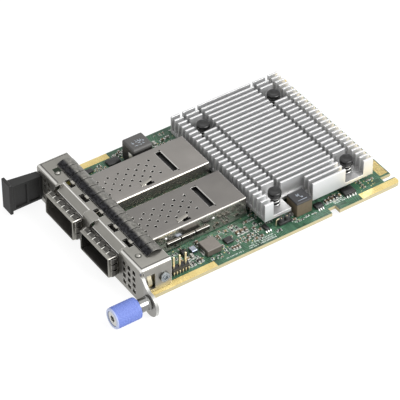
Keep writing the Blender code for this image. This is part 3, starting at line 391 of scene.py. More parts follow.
# One material. Its x, y and z are object coordinates in millimetres, and patterns are laid out in them
class Finish(Shop):
    def __init__(self, name, colour, roughness, metallic=0.0):
        self.material = bpy.data.materials.new(name)
        self.material.use_nodes = True
        super().__init__(self.material.node_tree)
        self.surface = self.tree.nodes["Principled BSDF"]
        self.set("Base Color", colour)
        self.set("Roughness", roughness)
        self.set("Metallic", metallic)
        self.place = self.node("ShaderNodeTexCoord", out="Object")
        self.x, self.y, self.z = (self.part(self.place, axis) * 1000 for axis in "XYZ")

    def set(self, name, value):
        self.put(self.surface.inputs[name], value)

    def part(self, vector, axis):
        return self.node("ShaderNodeSeparateXYZ", {}, {0: vector}, axis)

    # pattern place, stretched per axis
    def scaled(self, stretch):
        return self.node("ShaderNodeVectorMath", {"operation": "MULTIPLY"},
                         {0: self.place, 1: tuple(1000 * part for part in stretch)})

    def noise(self, scale, detail=2.0, rough=0.5, stretch=(1, 1, 1)):
        return self.node("ShaderNodeTexNoise", {}, {"Vector": self.scaled(stretch), "Scale": scale,
                                                    "Detail": detail, "Roughness": rough}, "Fac")

    def cells(self, scale, stretch, feature="F1"):
        return self.node("ShaderNodeTexVoronoi", {"feature": feature},
                         {"Vector": self.scaled(stretch), "Scale": scale}, "Distance")

    def mix(self, factor, a, b):
        return self.node("ShaderNodeMix", {"data_type": "RGBA"}, {0: factor, 6: a, 7: b}, 2)

    # one colour over another, as many times as there are pairs of a mask and a colour
    def layers(self, shade, *pairs):
        for mask, colour in pairs:
            shade = self.mix(mask, shade, colour)
        return shade

    # links colour, roughness and, where a relief is given, a bump as deep as its depth
    def done(self, colour, roughness, relief=None, depth=0.0, strength=1.0):
        self.set("Base Color", colour)
        self.set("Roughness", roughness)
        if relief is not None:
            self.set("Normal", self.node("ShaderNodeBump", {}, {"Strength": strength, "Distance": depth * mm,
                                                                "Height": relief}, "Normal"))
        return self.material

    # edges of a solid, from the Bevel node's turned normal against the true one
    def wear(self, radius):
        turned = self.node("ShaderNodeBevel", {"samples": 4}, {"Radius": radius * mm})
        true = self.node("ShaderNodeNewGeometry", {}, {}, "True Normal")
        same = self.node("ShaderNodeVectorMath", {"operation": "DOT_PRODUCT"}, {0: turned, 1: true}, "Value")
        return 1 - self.step(same, 0.80, 0.99)

    # part of the true normal along an axis, and 1 on walls that face along it either way
    def normal(self, axis):
        return self.part(self.node("ShaderNodeNewGeometry", {}, {}, "True Normal"), axis)

    def wall(self, axis):
        return self.step(self.absolute(self.normal(axis)), 0.6, 0.9)


boardSettings = {
    "mask": "#2a4935", "maskDark": "#1e3929", "maskCopper": "#4f8062", "hole": (0.01, 0.015, 0.012),
    "laminate": "#b9af8b", "laminateDark": "#8f8662", "plies": 3.2,
    "gold": "#ecd995", "goldWorn": "#cfb673", "goldFinger": "#dcc07c",
    # tracks: lines per millimetre, how they wander, which part of a line is copper, and which cells carry lines
    "alongY": {"rate": 1.55, "wander": 0.12, "copper": (0.42, 0.72), "cells": (0.55, (1.0, 0.16, 0.0)), "from": 0.33},
    "alongX": {"rate": 1.4, "wander": 0.1, "copper": (0.4, 0.7), "cells": (0.5, (0.14, 1.0, 0.0)), "from": 0.42},
    "pourScale": 0.16, "pourFrom": 0.55, "viaCells": 0.62, "viaHole": 0.05, "viaRing": 0.16, "viaEdge": 34.2,
    "stripInner": 35.0, "frontStripEnd": 32.2, "rearStripStart": 97.6,
    "fingers": (110.6, 114.3), "fingerPitch": 0.6, "fingerWidth": 0.42,
    "fingerGroups": ((-31.0, -14.0), (-10.5, -1.8), (1.8, 18.8), (22.5, 31.1)),
}


# Solder mask over etched copper: tracks are even lines in lanes that a stretched cell pattern picks, vias are rings
# round cell middles, guide strips and edge fingers are gold where x and y fall in their bands, and the cut edge
# shows laminate
def boardFinish():
    s = boardSettings
    f = Finish("solderMask", s["mask"], 0.32)
    side = f.absolute(f.x)
    flat = f.absolute(f.normal("Z")) > 0.7
    lines = []
    for axis, t in ((f.x, s["alongY"]), (f.y, s["alongX"])):
        line = f.maths("FRACT", axis * t["rate"] + f.noise(t["wander"], 0) * 6)
        lines.append(f.between(line, *t["copper"]) * (f.cells(*t["cells"], "SMOOTH_F1") > t["from"]))
    tracks = f.either(*lines)
    pours = f.noise(s["pourScale"], 1.0) > s["pourFrom"]
    dots = f.cells(s["viaCells"], (1.0, 1.0, 0.0))
    vias = (dots < s["viaRing"]) * (dots > s["viaHole"]) * (side < s["viaEdge"])
    strip = (side > s["stripInner"]) * f.either(f.y < s["frontStripEnd"], f.y > s["rearStripStart"])
    pads = f.absolute(f.maths("FRACT", f.x / s["fingerPitch"] + 0.5) - 0.5) < s["fingerWidth"] / s["fingerPitch"] / 2
    fingers = f.either(*(f.between(f.x, low, high) for low, high in s["fingerGroups"]))
    fingers = fingers * pads * f.between(f.y, *s["fingers"])
    gold = f.either(strip, fingers) * flat
    plies = f.maths("FRACT", f.z * s["plies"]) * 0.25 + 0.75
    cut = 1 - flat
    colour = f.layers(s["mask"], (pours, s["maskDark"]), (tracks * 0.8, s["maskCopper"]), (vias * 0.75, s["gold"]),
                      ((dots < s["viaHole"]) * 0.9, s["hole"]),
                      (strip * flat, f.mix(f.noise(0.25, 2.0), s["gold"], s["goldWorn"])),
                      (fingers * flat, s["goldFinger"]), (cut, f.mix(plies, s["laminateDark"], s["laminate"])))
    f.set("Metallic", gold * 0.35)
    return f.done(colour, 0.3 + f.noise(0.8, 2.0) * 0.12 + cut * 0.4 - gold * 0.08,
                  (tracks * 0.6 + pours * 0.4 + vias) * (1 - gold) + gold, 0.03, 0.7)


# Sheet metal: stretched noise gives the rolled grain, a coarse one clouds its gloss, edges wear brighter
def sheetFinish(name, colour, roughness, grain=(1, 1, 1), cloud=0.12, metallic=1.0, depth=0.006):
    f = Finish(name, colour, roughness, metallic)
    fine = f.noise(9.0, 3.0, 0.6, grain)
    broad = f.noise(0.22, 3.0, 0.6)
    shade = f.mix(broad, scaledColour(colour, 1 - cloud), scaledColour(colour, 1 + cloud))
    return f.done(f.mix(f.wear(0.25) * 0.8, shade, scaledColour(colour, 1.5)),
                  roughness + (broad - 0.5) * 0.14 + (fine - 0.5) * 0.06, fine, depth)


cageSettings = {
    "middles": (12.0, -12.2), "topFrom": 9.1,
    # darker and lighter end of the cloudy tops and walls, on the left and on the right cage; the walls lighter than
    # the tops and the left cage lighter than the right are painted light and shade
    "tops": (("#86837f", "#938f8b"), ("#767370", "#83807c")),
    "walls": (("#e6e3da", "#e6e3da"), ("#908d87", "#aaa7a0")),
    # the latch bars' colours are a painted dark reflection
    "latchFrom": 9.52, "latchStart": 4, "latch": ("#4a4844", "#66635d"),
    "litFrom": 5.0, "lit": (0.95, 0.94, 0.9), "seam": (4.2, 4.3),
    # slotRimLit is a painted highlight on the slot's bent rim; open is painted shade at the tongue's hole and the
    # slot's ends, where the sheet is not cut open
    "slotRim": (44.1, 44.5, 6.2), "slotRimLit": (0.7, 0.69, 0.66), "slotEnds": (6.3, 6.9, 43.9, 44.4),
    "tongueHole": (6.75, 7.75, 29.6, 32.8), "open": (0.01, 0.01, 0.01),
}


# Cage sheet: a rolled top with a soft sheen, and side walls as clear as a mirror. Light and shade are painted in:
# the walls lighter than the tops, the left cage lighter than the right, a painted dark reflection on the latch bars,
# a painted highlight on the folded edges and on the slot's rear edge, which is bent down, and painted shade beside
# the punched tongue and at the slot's ends, where the sheet is not cut open
def cageFinish():
    s = cageSettings
    f = Finish("cageNickel", "#878480", 0.3, 0.95)
    wall = f.wall("X")
    broad = f.noise(0.15, 3.0, 0.6)
    fine = f.noise(9.0, 3.0, 0.6, (1, 0.06, 1))
    # painted light and shade: the left cage lighter than the right, and the walls lighter than the tops
    tops = f.mix(f.x > 0, *(f.mix(broad, *colours) for colours in s["tops"]))
    walls = f.mix(f.x > 0, *(f.mix(broad, *colours) for colours in s["walls"]))
    away = f.maths("MINIMUM", *(f.absolute(f.x - middle) for middle in s["middles"]))
    # where the latch bars stand out from the walls, which get a painted dark reflection
    latch = (away > s["latchFrom"]) * (f.y > s["latchStart"])
    lit = f.either(f.wear(0.3) * (f.z > s["litFrom"]) * 0.9 * (1 - latch), f.between(f.z, *s["seam"]) * 0.35)
    shade = f.layers(f.mix(wall, tops, walls), (latch, f.mix(broad, *s["latch"])), (lit, s["lit"]))
    top = f.z > s["topFrom"]
    for middle in s["middles"]:
        off = f.absolute(f.x - middle)
        first, last, reach = s["slotRim"]
        rim = f.between(f.y, first, last) * (off < reach) * top
        near, far, first, last = s["tongueHole"]
        hole = f.between(f.x - middle, near, far) * f.between(f.y, first, last) * top
        near, far, first, last = s["slotEnds"]
        ends = f.between(off, near, far) * f.between(f.y, first, last) * top
        # painted highlight on the slot's bent rim, and painted shade where the sheet is not cut open
        shade = f.layers(shade, (rim * 0.6, s["slotRimLit"]), (f.either(hole, ends), s["open"]))
    return f.done(shade, 0.37 + (fine - 0.5) * 0.04 + (broad - 0.5) * 0.08 - wall * (1 - latch) * 0.22, fine, 0.004)


plateSettings = {
    # bright is the painted highlight of the folds, the crests and the edges
    "colours": ("#85837d", "#97958f"), "bright": (0.92, 0.91, 0.88), "dark": (0.05, 0.05, 0.05),
    "left": -35.4, "right": 36.2, "ends": (-21.4, 22.6), "score": (1.25, 1.6), "fold": (0.35, 1.0),
    "crests": ((3.7, 22.0), (-20.5, -2.2)), "crestY": (2.75, 3.15), "topFrom": 11.9, "foldFrom": 11.0,
    # the ear's rim colours, lighter low down and darker higher up, and its face colour are painted light and shade
    "crestFrom": 11.5, "earFrom": 36.6, "earZ": (-1.5, 3.0), "earRimShading": ((0.66, 0.66, 0.64), (0.33, 0.33, 0.32)),
    "earFaceFrom": 38.0, "earFaceLight": (0.5, 0.5, 0.48),
    # the window and the rivets' rims are painted shade, where no opening or groove is cut
    "window": (-29.2, -26.4, 3.4, 6.1), "windowShade": (0.02, 0.028, 0.018),
    "rivets": ((-26.3, 4.2), (28.4, 4.2)), "rivetRim": (0.9, 1.3),
}


# Faceplate sheet: brushed grain, a painted highlight on the folds and the hoods' crests, edges worn bright with a
# painted highlight, a scored line inside the top's edges at both ends, painted light and shade on the ear's rim and
# face, and painted shade for a window that is not cut and round the rivets' pressed rims
def plateFinish():
    s = plateSettings
    f = Finish("platedSteel", "#94928c", 0.36, 0.85)
    x, y, z = f.x, f.y, f.z
    top = z > s["topFrom"]
    fine = f.noise(9.0, 3.0, 0.6, (0.1, 1, 1))
    broad = f.noise(0.22, 3.0, 0.6)
    ends = f.either(x > s["ends"][1], x < s["ends"][0])
    inset = f.maths("MINIMUM", f.maths("MINIMUM", y, s["right"] - x), x - s["left"])
    score = f.between(inset, *s["score"]) * top * ends
    fold = f.between(inset, *s["fold"]) * (z > s["foldFrom"]) * ends
    crest = f.either(*(f.between(x, low, high) for low, high in s["crests"]))
    crest = crest * f.between(y, *s["crestY"]) * (z > s["crestFrom"])
    # the ear's rim, which gets painted light and shade
    rim = (x > s["earFrom"]) * (f.absolute(f.normal("Y")) < 0.8)
    left, right, first, last = s["window"]
    # painted shade for a window that is not cut, and round the rivets' pressed rims
    relief = f.between(x, left, right) * f.between(y, first, last) * top
    for middleX, middleY in s["rivets"]:
        away = f.maths("SQRT", (x - middleX) * (x - middleX) + (y - middleY) * (y - middleY))
        relief = f.either(relief, f.between(away, *s["rivetRim"]) * top * 0.7)
    # painted highlight on folds, crests and edges, then painted light and shade on the ear, then painted shade
    shade = f.layers(f.mix(broad, *s["colours"]),
                     (f.either(fold * 0.55, crest * 0.75, f.wear(0.3) * 0.85), s["bright"]),
                     (rim * 0.85, f.mix(f.step(z, *s["earZ"]), *s["earRimShading"])),
                     ((x > s["earFaceFrom"]) * (1 - rim) * 0.25, s["earFaceLight"]),
                     (relief, s["windowShade"]), (score * 0.85, s["dark"]))
    return f.done(shade, 0.36 + (broad - 0.5) * 0.14 + (fine - 0.5) * 0.06 + rim * 0.15,
                  fine - (score + relief) * 6, 0.006)


# Moulded plastic: fine spark-eroded grain, faint flow marks, and edges rubbed lighter and smoother
def mouldFinish(name, colour, roughness, light=1.35, depth=0.02, speckle=0.0):
    f = Finish(name, colour, roughness)
    grain = f.noise(6.0, 4.0, 0.65)
    flow = f.noise(0.3, 2.0)
    worn = f.wear(0.3)
    shade = f.mix(flow, scaledColour(colour, 0.86), scaledColour(colour, 1.14))
    if speckle:
        shade = f.mix((f.noise(14, 2.0) > 0.6) * speckle, shade, scaledColour(colour, 1.8, 0.01))
    return f.done(f.mix(worn * 0.7, shade, scaledColour(colour, light)),
                  roughness + (flow - 0.5) * 0.12 + (grain - 0.5) * 0.1 - worn * 0.1, grain, depth)


# the colour towards the channels' bottoms is painted shade, and top and right are painted light on faces that look up
# and towards +X
sinkSettings = {"dull": (0.53, 0.53, 0.535), "bright": (0.65, 0.65, 0.655), "channelShade": (0.3, 0.295, 0.285),
                "channel": (4.6, 11.5), "topFrom": 11.0, "top": (0.82, 0.82, 0.82), "right": (0.82, 0.825, 0.83),
                "sawn": (0.42, 0.42, 0.42), "worn": (0.93, 0.93, 0.93)}


# Extruded aluminium: streaks along the fins, painted light on the top faces and on those facing +X, painted shade
# that darkens towards the channels' bottoms, sawn ends dull
def sinkFinish():
    s = sinkSettings
    f = Finish("extrudedAluminium", s["bright"], 0.42, 0.75)
    streak = f.noise(6.0, 3.0, 0.6, (1.0, 0.03, 1.0))
    broad = f.noise(0.18, 2.0)
    sawn = f.wall("Y")
    # painted shade that darkens towards the channels' bottoms
    shade = f.layers(f.mix(broad, s["dull"], s["bright"]), ((1 - f.step(f.z, *s["channel"])) * 0.55, s["channelShade"]),
                     # painted light on the top faces and on those that face +X
                     (f.step(f.normal("Z"), 0.6, 0.9) * (f.z > s["topFrom"]) * 0.5, s["top"]),
                     (f.step(f.normal("X"), 0.6, 0.9) * 0.6, s["right"]), (sawn * 0.5, s["sawn"]),
                     (f.wear(0.2) * 0.7, s["worn"]))
    return f.done(shade, 0.36 + streak * 0.12 + (broad - 0.5) * 0.1 + sawn * 0.25, streak, 0.012)


# One look for each slot of the model, then those that only the scene's pieces wear
looks = {
    "solder_mask": boardFinish(),
    "faceplate_steel": plateFinish(),
    "cage_nickel": cageFinish(),
    "gasket_steel": sheetFinish("gasketSteel", "#6d6c6a", 0.3, (0.2, 1, 1)),
    "bright_nickel": sheetFinish("brightNickel", "#c2c2c0", 0.2, (1, 1, 0.2), cloud=0.06),
    "sink_aluminium": sinkFinish(),
    "spring_wire": sheetFinish("springWire", "#b4b4b2", 0.25),
    "black_plastic": mouldFinish("blackPlastic", "#242424", 0.5),
    "pin_plastic": mouldFinish("pinNylon", "#090909", 0.24, light=6.0),
    "tab_plastic": mouldFinish("tabPlastic", "#0c0c0b", 0.6, light=5.0),
    "blue_plastic": mouldFinish("touchBlue", "#748ce0", 0.55, light=1.2, depth=0.03),
    "brass": sheetFinish("brass", "#c9a960", 0.3, (1, 1, 0.2)),
    "gold": sheetFinish("goldPlating", "#bdb496", 0.35, (1, 1, 0.2), metallic=0.6),
    "thermal_pad": mouldFinish("thermalPad", "#8f939c", 0.8),
    "ferrite": mouldFinish("ferrite", "#7b7671", 0.62, speckle=0.6, depth=0.04),
    "dark_ferrite": mouldFinish("darkFerrite", "#3b3832", 0.5, speckle=0.5, depth=0.04),
    "chip_black": mouldFinish("chipEpoxy", "#232323", 0.45),
    "ceramic": mouldFinish("ceramic", "#a98f72", 0.4),
    "dull_metal": sheetFinish("dullMetal", "#96938c", 0.34, (1, 0.2, 1)),
    "pale_metal": sheetFinish("paleMetal", "#a9a69e", 0.3, (1, 0.2, 1)),
    "ferrule": sheetFinish("ferruleNickel", "#868684", 0.17, (1, 0.1, 1), cloud=0.1),
    "crystal_can": sheetFinish("crystalCan", "#777d8a", 0.28),
    "screw_zinc": sheetFinish("screwZinc", "#9a9fa2", 0.26),
    "bowed_spring": sheetFinish("bowedSpring", "#aca48c", 0.34, (1, 1, 0.2), metallic=0.7),
    "solder": sheetFinish("solder", "#aeaeaa", 0.36, cloud=0.2, depth=0.03),
    "paint": mouldFinish("palePaint", "#9fa7b1", 0.6, speckle=0.3),
}
slotOf = {entry["node"]: entry["material_slot"] for entry in frame["record"]["subparts"]}
for node, thing in nodes.items():
    thing.data.materials.clear()
    thing.data.materials.append(looks[slotOf[node]])
print("materials made:", len(looks))


# Spring strip on the faceplate's top

stripSettings = {"left": -30.5, "right": 30.9, "front": 6.3, "foot": 6.42, "crest": 9.9, "narrowFrom": 12.1,
                 "back": 13.0, "low": 12.4, "high": 13.745, "bulge": 0.8, "dip": 0.16, "dipPower": 9,
                 "tilt": 0.035, "narrow": 0.16, "sheet": 0.12, "fingers": 13, "slit": 0.34, "rows": 22}


# One finger: its height rises as a power of the sine of the way to the crest and falls again behind it, the sides
# dip a little, and the far end narrows to a hook; fingers repeat along X and touch at their feet
def topStrip():
    s = stripSettings
    pitch = (s["right"] - s["left"]) / s["fingers"]
    y = s["front"] + np.concatenate([[0, 0.06], np.linspace(0.125, s["back"] - s["front"], s["rows"])])
    lean = np.where(y < s["crest"], (y - s["foot"]) / (s["crest"] - s["foot"]),
                    (s["back"] - y) / (s["back"] - s["crest"]))
    height = np.sin(np.clip(lean, 0, 1) * math.pi / 2) ** s["bulge"]
    onFoot = y <= s["foot"] + 1e-6
    hook = np.clip((y - s["narrowFrom"]) / (s["back"] - s["narrowFrom"]), 0, 1)
    half = np.where(onFoot, pitch / 2 + 0.002, (pitch - s["slit"]) / 2) * (1 - s["narrow"] * hook)
    u = np.array([-1, -0.94, -0.82, -0.5, 0, 0.5, 0.82, 0.94, 1.0])
    dip = s["dip"] * np.abs(u) ** s["dipPower"] * ~onFoot[:, None]
    z = s["low"] + (s["high"] - s["low"]) * height[:, None] - dip
    z = np.minimum(z + s["tilt"] * u * height[:, None], s["high"])
    finger = sheet(placesOf(half[:, None] * u, y[:, None], z), s["sheet"])
    return repeated(finger, rowOf(s["left"] + pitch * (np.arange(s["fingers"]) + 0.5), 0))


tabSettings = {"count": 5, "pitch": 9.8, "middle": 1.2, "half": 1.0, "sheet": 0.14, "roots": (6.9, 6.2),
               "bend": (5.75, 12.0), "radii": (0.45, 0.44), "tip": (5.28, 11.2)}


# Tabs of the strip that hook down into the faceplate's windows: a quarter bend, then straight down
def stripTabs():
    s = tabSettings
    turn = np.linspace(0, math.pi / 2, 7)
    y = [*s["roots"], *(s["bend"][0] - s["radii"][0] * np.sin(turn)), s["tip"][0]]
    z = s["bend"][1] + s["radii"][1] * np.cos(turn)
    z = [z[0], z[0], *z, s["tip"][1]]
    grid = placesOf(np.linspace(-s["half"], s["half"], 5), np.array(y)[:, None], np.array(z)[:, None])
    return repeated(sheet(grid, s["sheet"]), rowOf(spaced(s["count"], s["pitch"], s["middle"]), 0))


# Spring steel: faces that look forward carry a painted dark reflection of the room in front of them, and those behind
# light metal
def stripFinish():
    f = Finish("springStrip", "#8d8c88", 0.3, 1.0)
    # painted dark reflection on faces that look forward
    forward = f.step(f.normal("Y") * -1, 0.02, 0.30)
    mottle = f.noise(0.9, 5.0, 0.75)
    dark = f.mix(f.step(mottle, 0.38, 0.68), (0.001, 0.001, 0.0015), (0.045, 0.045, 0.05))
    light = f.mix(f.step(mottle, 0.2, 0.8), "#5a5956", "#9b9993")
    shade = f.mix(forward, light, dark)
    f.set("Metallic", 1 - forward * 0.15)
    return f.done(f.mix(f.wear(0.12) * 0.5 * (1 - forward), shade, (0.62, 0.61, 0.58)),
                  0.26 + mottle * 0.16 + f.step(f.normal("Z"), 0.3, 0.9) * 0.05, f.noise(3.0, 2.0), 0.01)


looks["strip"] = stripFinish()
makePiece("spring_strip", topStrip(), "strip", smooth=40, replaces=("top_gasket",))
makePiece("strip_tabs", stripTabs(), "pale_metal", smooth=40)


# Sleeves of spring fingers round the ports

cageMiddles = cageSettings["middles"]
sleeveSettings = {"halfWidth": 9.6, "low": 0.23, "high": 9.32, "corner": 0.55, "front": -4.38, "roll": 0.28,
                  "collar": (-3.8, -3.5), "lip": -3.25, "back": -0.35, "swell": 0.52, "bulge": 0.9, "curl": 1.02,
                  "least": 0.02, "twist": 0.16, "hollow": 0.05, "narrow": 0.10, "sheet": 0.16, "wide": 6, "tall": 3,
                  "slit": 0.34, "spare": 0.5, "fingersFrom": (-3.3, -2.9),
                  "litShare": 0.2, "litX": (-8.9, 9.2), "litY": (-3.3, -1.9), "litFrom": 9.0}


# Outline of the cage's mouth: a rectangle with rounded corners, grown outwards
def mouthOutline(grow):
    s = sleeveSettings
    x, low, high, r = s["halfWidth"] + grow, s["low"] - grow, s["high"] + grow, s["corner"] + grow
    points = []
    for cx, cz, start in ((x - r, high - r, 0), (r - x, high - r, 90), (r - x, low + r, 180), (x - r, low + r, 270)):
        a = np.radians(start + np.linspace(0, 90, 6))
        points.append(np.stack([cx + r * np.cos(a), cz + r * np.sin(a)], 1))
    return np.concatenate(points)


# Lip: the mouth's outline carried along Y, its front rolled over by a quarter circle
def mouthLip():
    s = sleeveSettings
    roll = np.linspace(0, math.pi / 2, 5)
    grows = [*(-s["roll"] * (1 - np.sin(roll))), s["least"], 0.0, 0.0]
    y = np.array([*(s["front"] + s["roll"] * (1 - np.cos(roll))), *s["collar"], s["lip"]])
    outlines = np.stack([mouthOutline(grow) for grow in grows])
    return sheet(placesOf(outlines[..., 0], y[:, None], outlines[..., 1]), s["sheet"], ring=True)


# Bowed finger on one side: bows out by a power of a sine along Y, twists so that one edge stands proud, and ends in
# a small curl
def mouthFinger(width):
    s = sleeveSettings
    t = np.linspace(0, 1, 11)[:, None]
    u = np.linspace(-1, 1, 7)
    bow = s["swell"] * np.sin(math.pi * np.minimum(t * s["curl"], 1)) ** s["bulge"]
    rise = bow + s["twist"] * np.sin(math.pi * t) * u - s["hollow"] * np.abs(u) ** 5
    return (width / 2) * u * (1 - s["narrow"] * t ** 3), s["lip"] + (s["back"] - s["lip"]) * t, rise


# All fingers of one port: six on top and below, three on each side, each turned to its own side
def mouthFingers():
    s = sleeveSettings
    shapes = []
    for count, span, axis in ((s["wide"], 2 * s["halfWidth"], 0), (s["tall"], s["high"] - s["low"], 2)):
        flat = axis == 0
        pitch = (span - s["spare"]) / count
        across, y, rise = mouthFinger(pitch - s["slit"])
        row = rowOf(spaced(count, pitch, 0.0 if flat else (s["high"] + s["low"]) / 2), axis)
        for sign in (1, -1):
            face = (s["high"] if sign > 0 else s["low"]) if flat else sign * s["halfWidth"]
            out = face + sign * np.maximum(rise, s["least"])
            grid = placesOf(across, y, out) if flat else placesOf(out, y, across)
            shapes.append(repeated(sheet(grid, sign * (s["sheet"] if flat else -s["sheet"])), row))
    return joined(shapes)


# Sleeve metal: light lip, fingers with a painted dark reflection of the room in front, and a painted highlight on
# each finger's proud edge near the lip
def sleeveFinish():
    s = sleeveSettings
    f = Finish("sleeveSteel", "#77756f", 0.3, 1.0)
    mottle = f.noise(0.9, 2.0)
    # the fingers' darker colours are a painted dark reflection
    lip, finger = f.mix(mottle, "#83817b", "#a09e97"), f.mix(mottle, "#353432", "#64625e")
    shade = f.mix(f.step(f.y, *s["fingersFrom"]), lip, finger)
    pitch = (2 * s["halfWidth"] - s["spare"]) / s["wide"]
    bands = []
    for middle in cageMiddles:
        along = f.maths("FRACT", (f.x - middle) / pitch + 10)  # 10 keeps it above zero
        bands.append((along < s["litShare"]) * f.between(f.x, *(middle + x for x in s["litX"])))
    lit = f.either(*bands) * f.between(f.y, *s["litY"]) * (f.z > s["litFrom"])
    return f.done(f.layers(shade, (lit, "#efeee8"), (f.wear(0.15), "#dcdad2")), 0.27 + mottle * 0.14,
                  f.noise(3.0, 2.0), 0.008)


looks["sleeve"] = sleeveFinish()
for side, middle in zip(("right", "left"), cageMiddles):
    makePiece(side + "_sleeve", placed(joined([mouthLip(), mouthFingers()]), offset=(middle, 0, 0)), "sleeve",
              smooth=40, replaces=(side + "_port_gasket",))


windowSettings = {"walls": {"left": (-1, plateSettings["left"]), "right": (1, plateSettings["right"])},
                  "low": 0.75, "length": 8.4, "y": 3.75, "half": 0.8, "foot": -1.15, "bow": 1.62, "hollow": 0.05,
                  "sheet": 0.16, "liner": (0.14, 2.9, 7.6), "linerPlace": (1.5, 4.7, 4.9)}


# Bowed fingers in the flange windows: an arch of sine squared between two feet, slightly hollow across
def flangeFinger(way, wall):
    s = windowSettings
    t = np.linspace(0, 1, 21)[:, None]
    u = np.linspace(-1, 1, 5)
    bow = s["foot"] + s["bow"] * np.sin(math.pi * t) ** 2
    x = wall + way * (bow - s["hollow"] * u ** 2)
    return sheet(placesOf(x, s["y"] + s["half"] * u, s["low"] + s["length"] * t), way * s["sheet"])


for side, (way, wall) in windowSettings["walls"].items():
    makePiece(side + "_window_spring", flangeFinger(way, wall), "bowed_spring", smooth=40,
              replaces=(side + "_flange_finger",))
    inset, y, z = windowSettings["linerPlace"]
    makePiece(side + "_window_liner", softBoxes((wall - way * inset, y, z), windowSettings["liner"], 0.06),
              "bowed_spring", smooth=0)
print("gaskets made")


# Sheet metal, cages and heatsink: the model's own solids with rounded edges

softSettings = {"faceplate": 0.16, "right_cage": 0.05, "left_cage": 0.05, "heatsink": 0.09, "pull_tab": 0.12,
                "right_port_connector": 0.12, "left_port_connector": 0.12, "left_mounting_block": 0.15,
                "right_mounting_block": 0.15, "processor_package": 0.08, "processor_lid": 0.12, "header_base": 0.12}
for node, width in softSettings.items():
    softened(node, width)
for node, look in (("rivet_left", "faceplate_steel"), ("rivet_right", "faceplate_steel"), ("crystal", "crystal_can")):
    nodes[node].data.materials[0] = looks[look]
print("solids softened:", len(softSettings))


# Chokes: how far edges are rounded, colours, how far the top colour reaches down, and the terminal's x from the
# middle, width and height. Ink is a row of strokes of paint on the top: two ends each, from the choke's middle
chokeSettings = {
    "choke_front_right": {"edge": 0.14, "top": "#726d67", "side": "#46413a", "reach": 0.4, "terminal": (0, 3.0, 0.9)},
    "choke_rear_right": {"edge": 0.2, "top": "#2b2b2d", "side": "#574d3c", "reach": 0.7, "terminal": (0, 2.6, 0.6),
                         "ink": ((2.0, -2.1, 2.0, 1.9), (-1.5, -0.9, -0.2, 0.1), (-0.3, -1.0, -1.4, 0.2),
                                 (-0.9, -1.1, -0.9, 0.3), (0.1, 0.0, 0.9, 0.9), (0.9, 0.9, 0.2, 0.8),
                                 (0.9, 0.9, 0.8, 0.2))},
    # the left choke's near-black side colour is painted shade
    "choke_left": {"edge": 0.55, "top": "#4a4948", "side": "#0b0a09", "reach": 1.4, "terminal": (2.2, 2.4, 6.4),
                   "ink": ((-0.6, -2.4, 0.8, -2.1), (0.3, -2.7, 0.5, -1.7), (2.0, -2.4, 2.1, -0.9),
                           (2.0, -0.3, 2.3, 0.6), (1.7, 1.0, 2.2, 1.8), (-0.9, -0.8, 0.1, -0.2),
                           (0.3, -0.9, -0.3, 0.6), (-1.0, 0.4, 0.6, 0.9), (0.9, -0.5, 1.1, 0.8),
                           (-0.8, 1.5, 0.4, 1.3), (-0.2, 1.9, 0.9, 2.5), (0.9, 1.5, 1.2, 2.2))},
}
# terminals at both ends, each with a foot, and the strokes' width, how deep they sink in and how thick they are
terminalSettings = {"out": 0.04, "thick": 0.2, "footOut": 0.3, "footZ": 0.12, "foot": (0.7, 0.2), "rim": 0.06,
                    "stroke": 0.24, "sunk": 0.002, "paint": 0.015}


# Pressed powder: the top has one colour, the sides below it another, with a coarse grain and light specks; on the
# left choke the near-black sides are painted shade
def chokeFinish(name, top, side, level):
    f = Finish(name, top, 0.55)
    grain = f.noise(5.0, 4.0, 0.7)
    upper = f.step(f.z + f.noise(1.5) * 0.3, level, level + 0.3)
    shade = f.mix(upper, f.mix(f.noise(0.6, 3.0), side, scaledColour(side, 1.5)),
                  f.mix(f.noise(0.5, 3.0), top, scaledColour(top, 1.3)))
    specks = (f.noise(15.0, 2.0) > 0.62) * 0.4
    shade = f.layers(shade, (specks, scaledColour(top, 1.6, 0.03)), (f.wear(0.2) * 0.3, "#b3b0aa"))
    return f.done(shade, 0.42 + grain * 0.3, grain, 0.04)


for node, s in chokeSettings.items():
    low, high = boxOf(node)
    middle, size = (low + high) / 2, high - low
    looks[node] = chokeFinish(node + "_ferrite", s["top"], s["side"], high[2] - s["reach"])
    makePiece(node + "_body", softBoxes(middle, size, s["edge"]), node, smooth=60, replaces=(node,),
              bevel=s["edge"] * 0.3)
    shift, wide, tall = s["terminal"]
    t = terminalSettings
    metal = []
    for out, z, box in ((t["out"], low[2] + tall / 2, (wide, t["thick"], tall)),
                        (t["footOut"], t["footZ"], (wide, *t["foot"]))):
        for way in (1, -1):
            place = (middle[0] + shift * way, middle[1] - way * (size[1] / 2 + out), z)
            metal.append(softBoxes(place, box, t["rim"]))
    makePiece(node + "_terminals", joined(metal), "solder", smooth=0)
    if "ink" in s:
        strokes = np.array(s["ink"]).reshape(-1, 2, 2) + middle[:2]
        top = high[2] - t["sunk"]
        paint = bars(strokes[:, 0], strokes[:, 1], t["stroke"], top, top + t["paint"])
        makePiece(node + "_paint", paint, "paint", smooth=0)


# Cages: pressed dimples, of radius and height, and the punched tongues
punchSettings = {"wall": 9.48, "top": 9.24, "dimples": ((20.5, 6.4), (41.3, 6.2)),
                 "dimple": ((0.0, 0.42), (0.3, 0.4), (0.55, 0.3), (0.72, 0.12), (0.78, -0.05), (0.0, -0.05)),
                 "tongueX": 6.15, "tongueY": (27.7, 32.0), "tongueHalf": 0.78, "narrow": 0.15, "lift": 1.1,
                 "power": 1.3, "arch": 0.22, "sheet": 0.18}


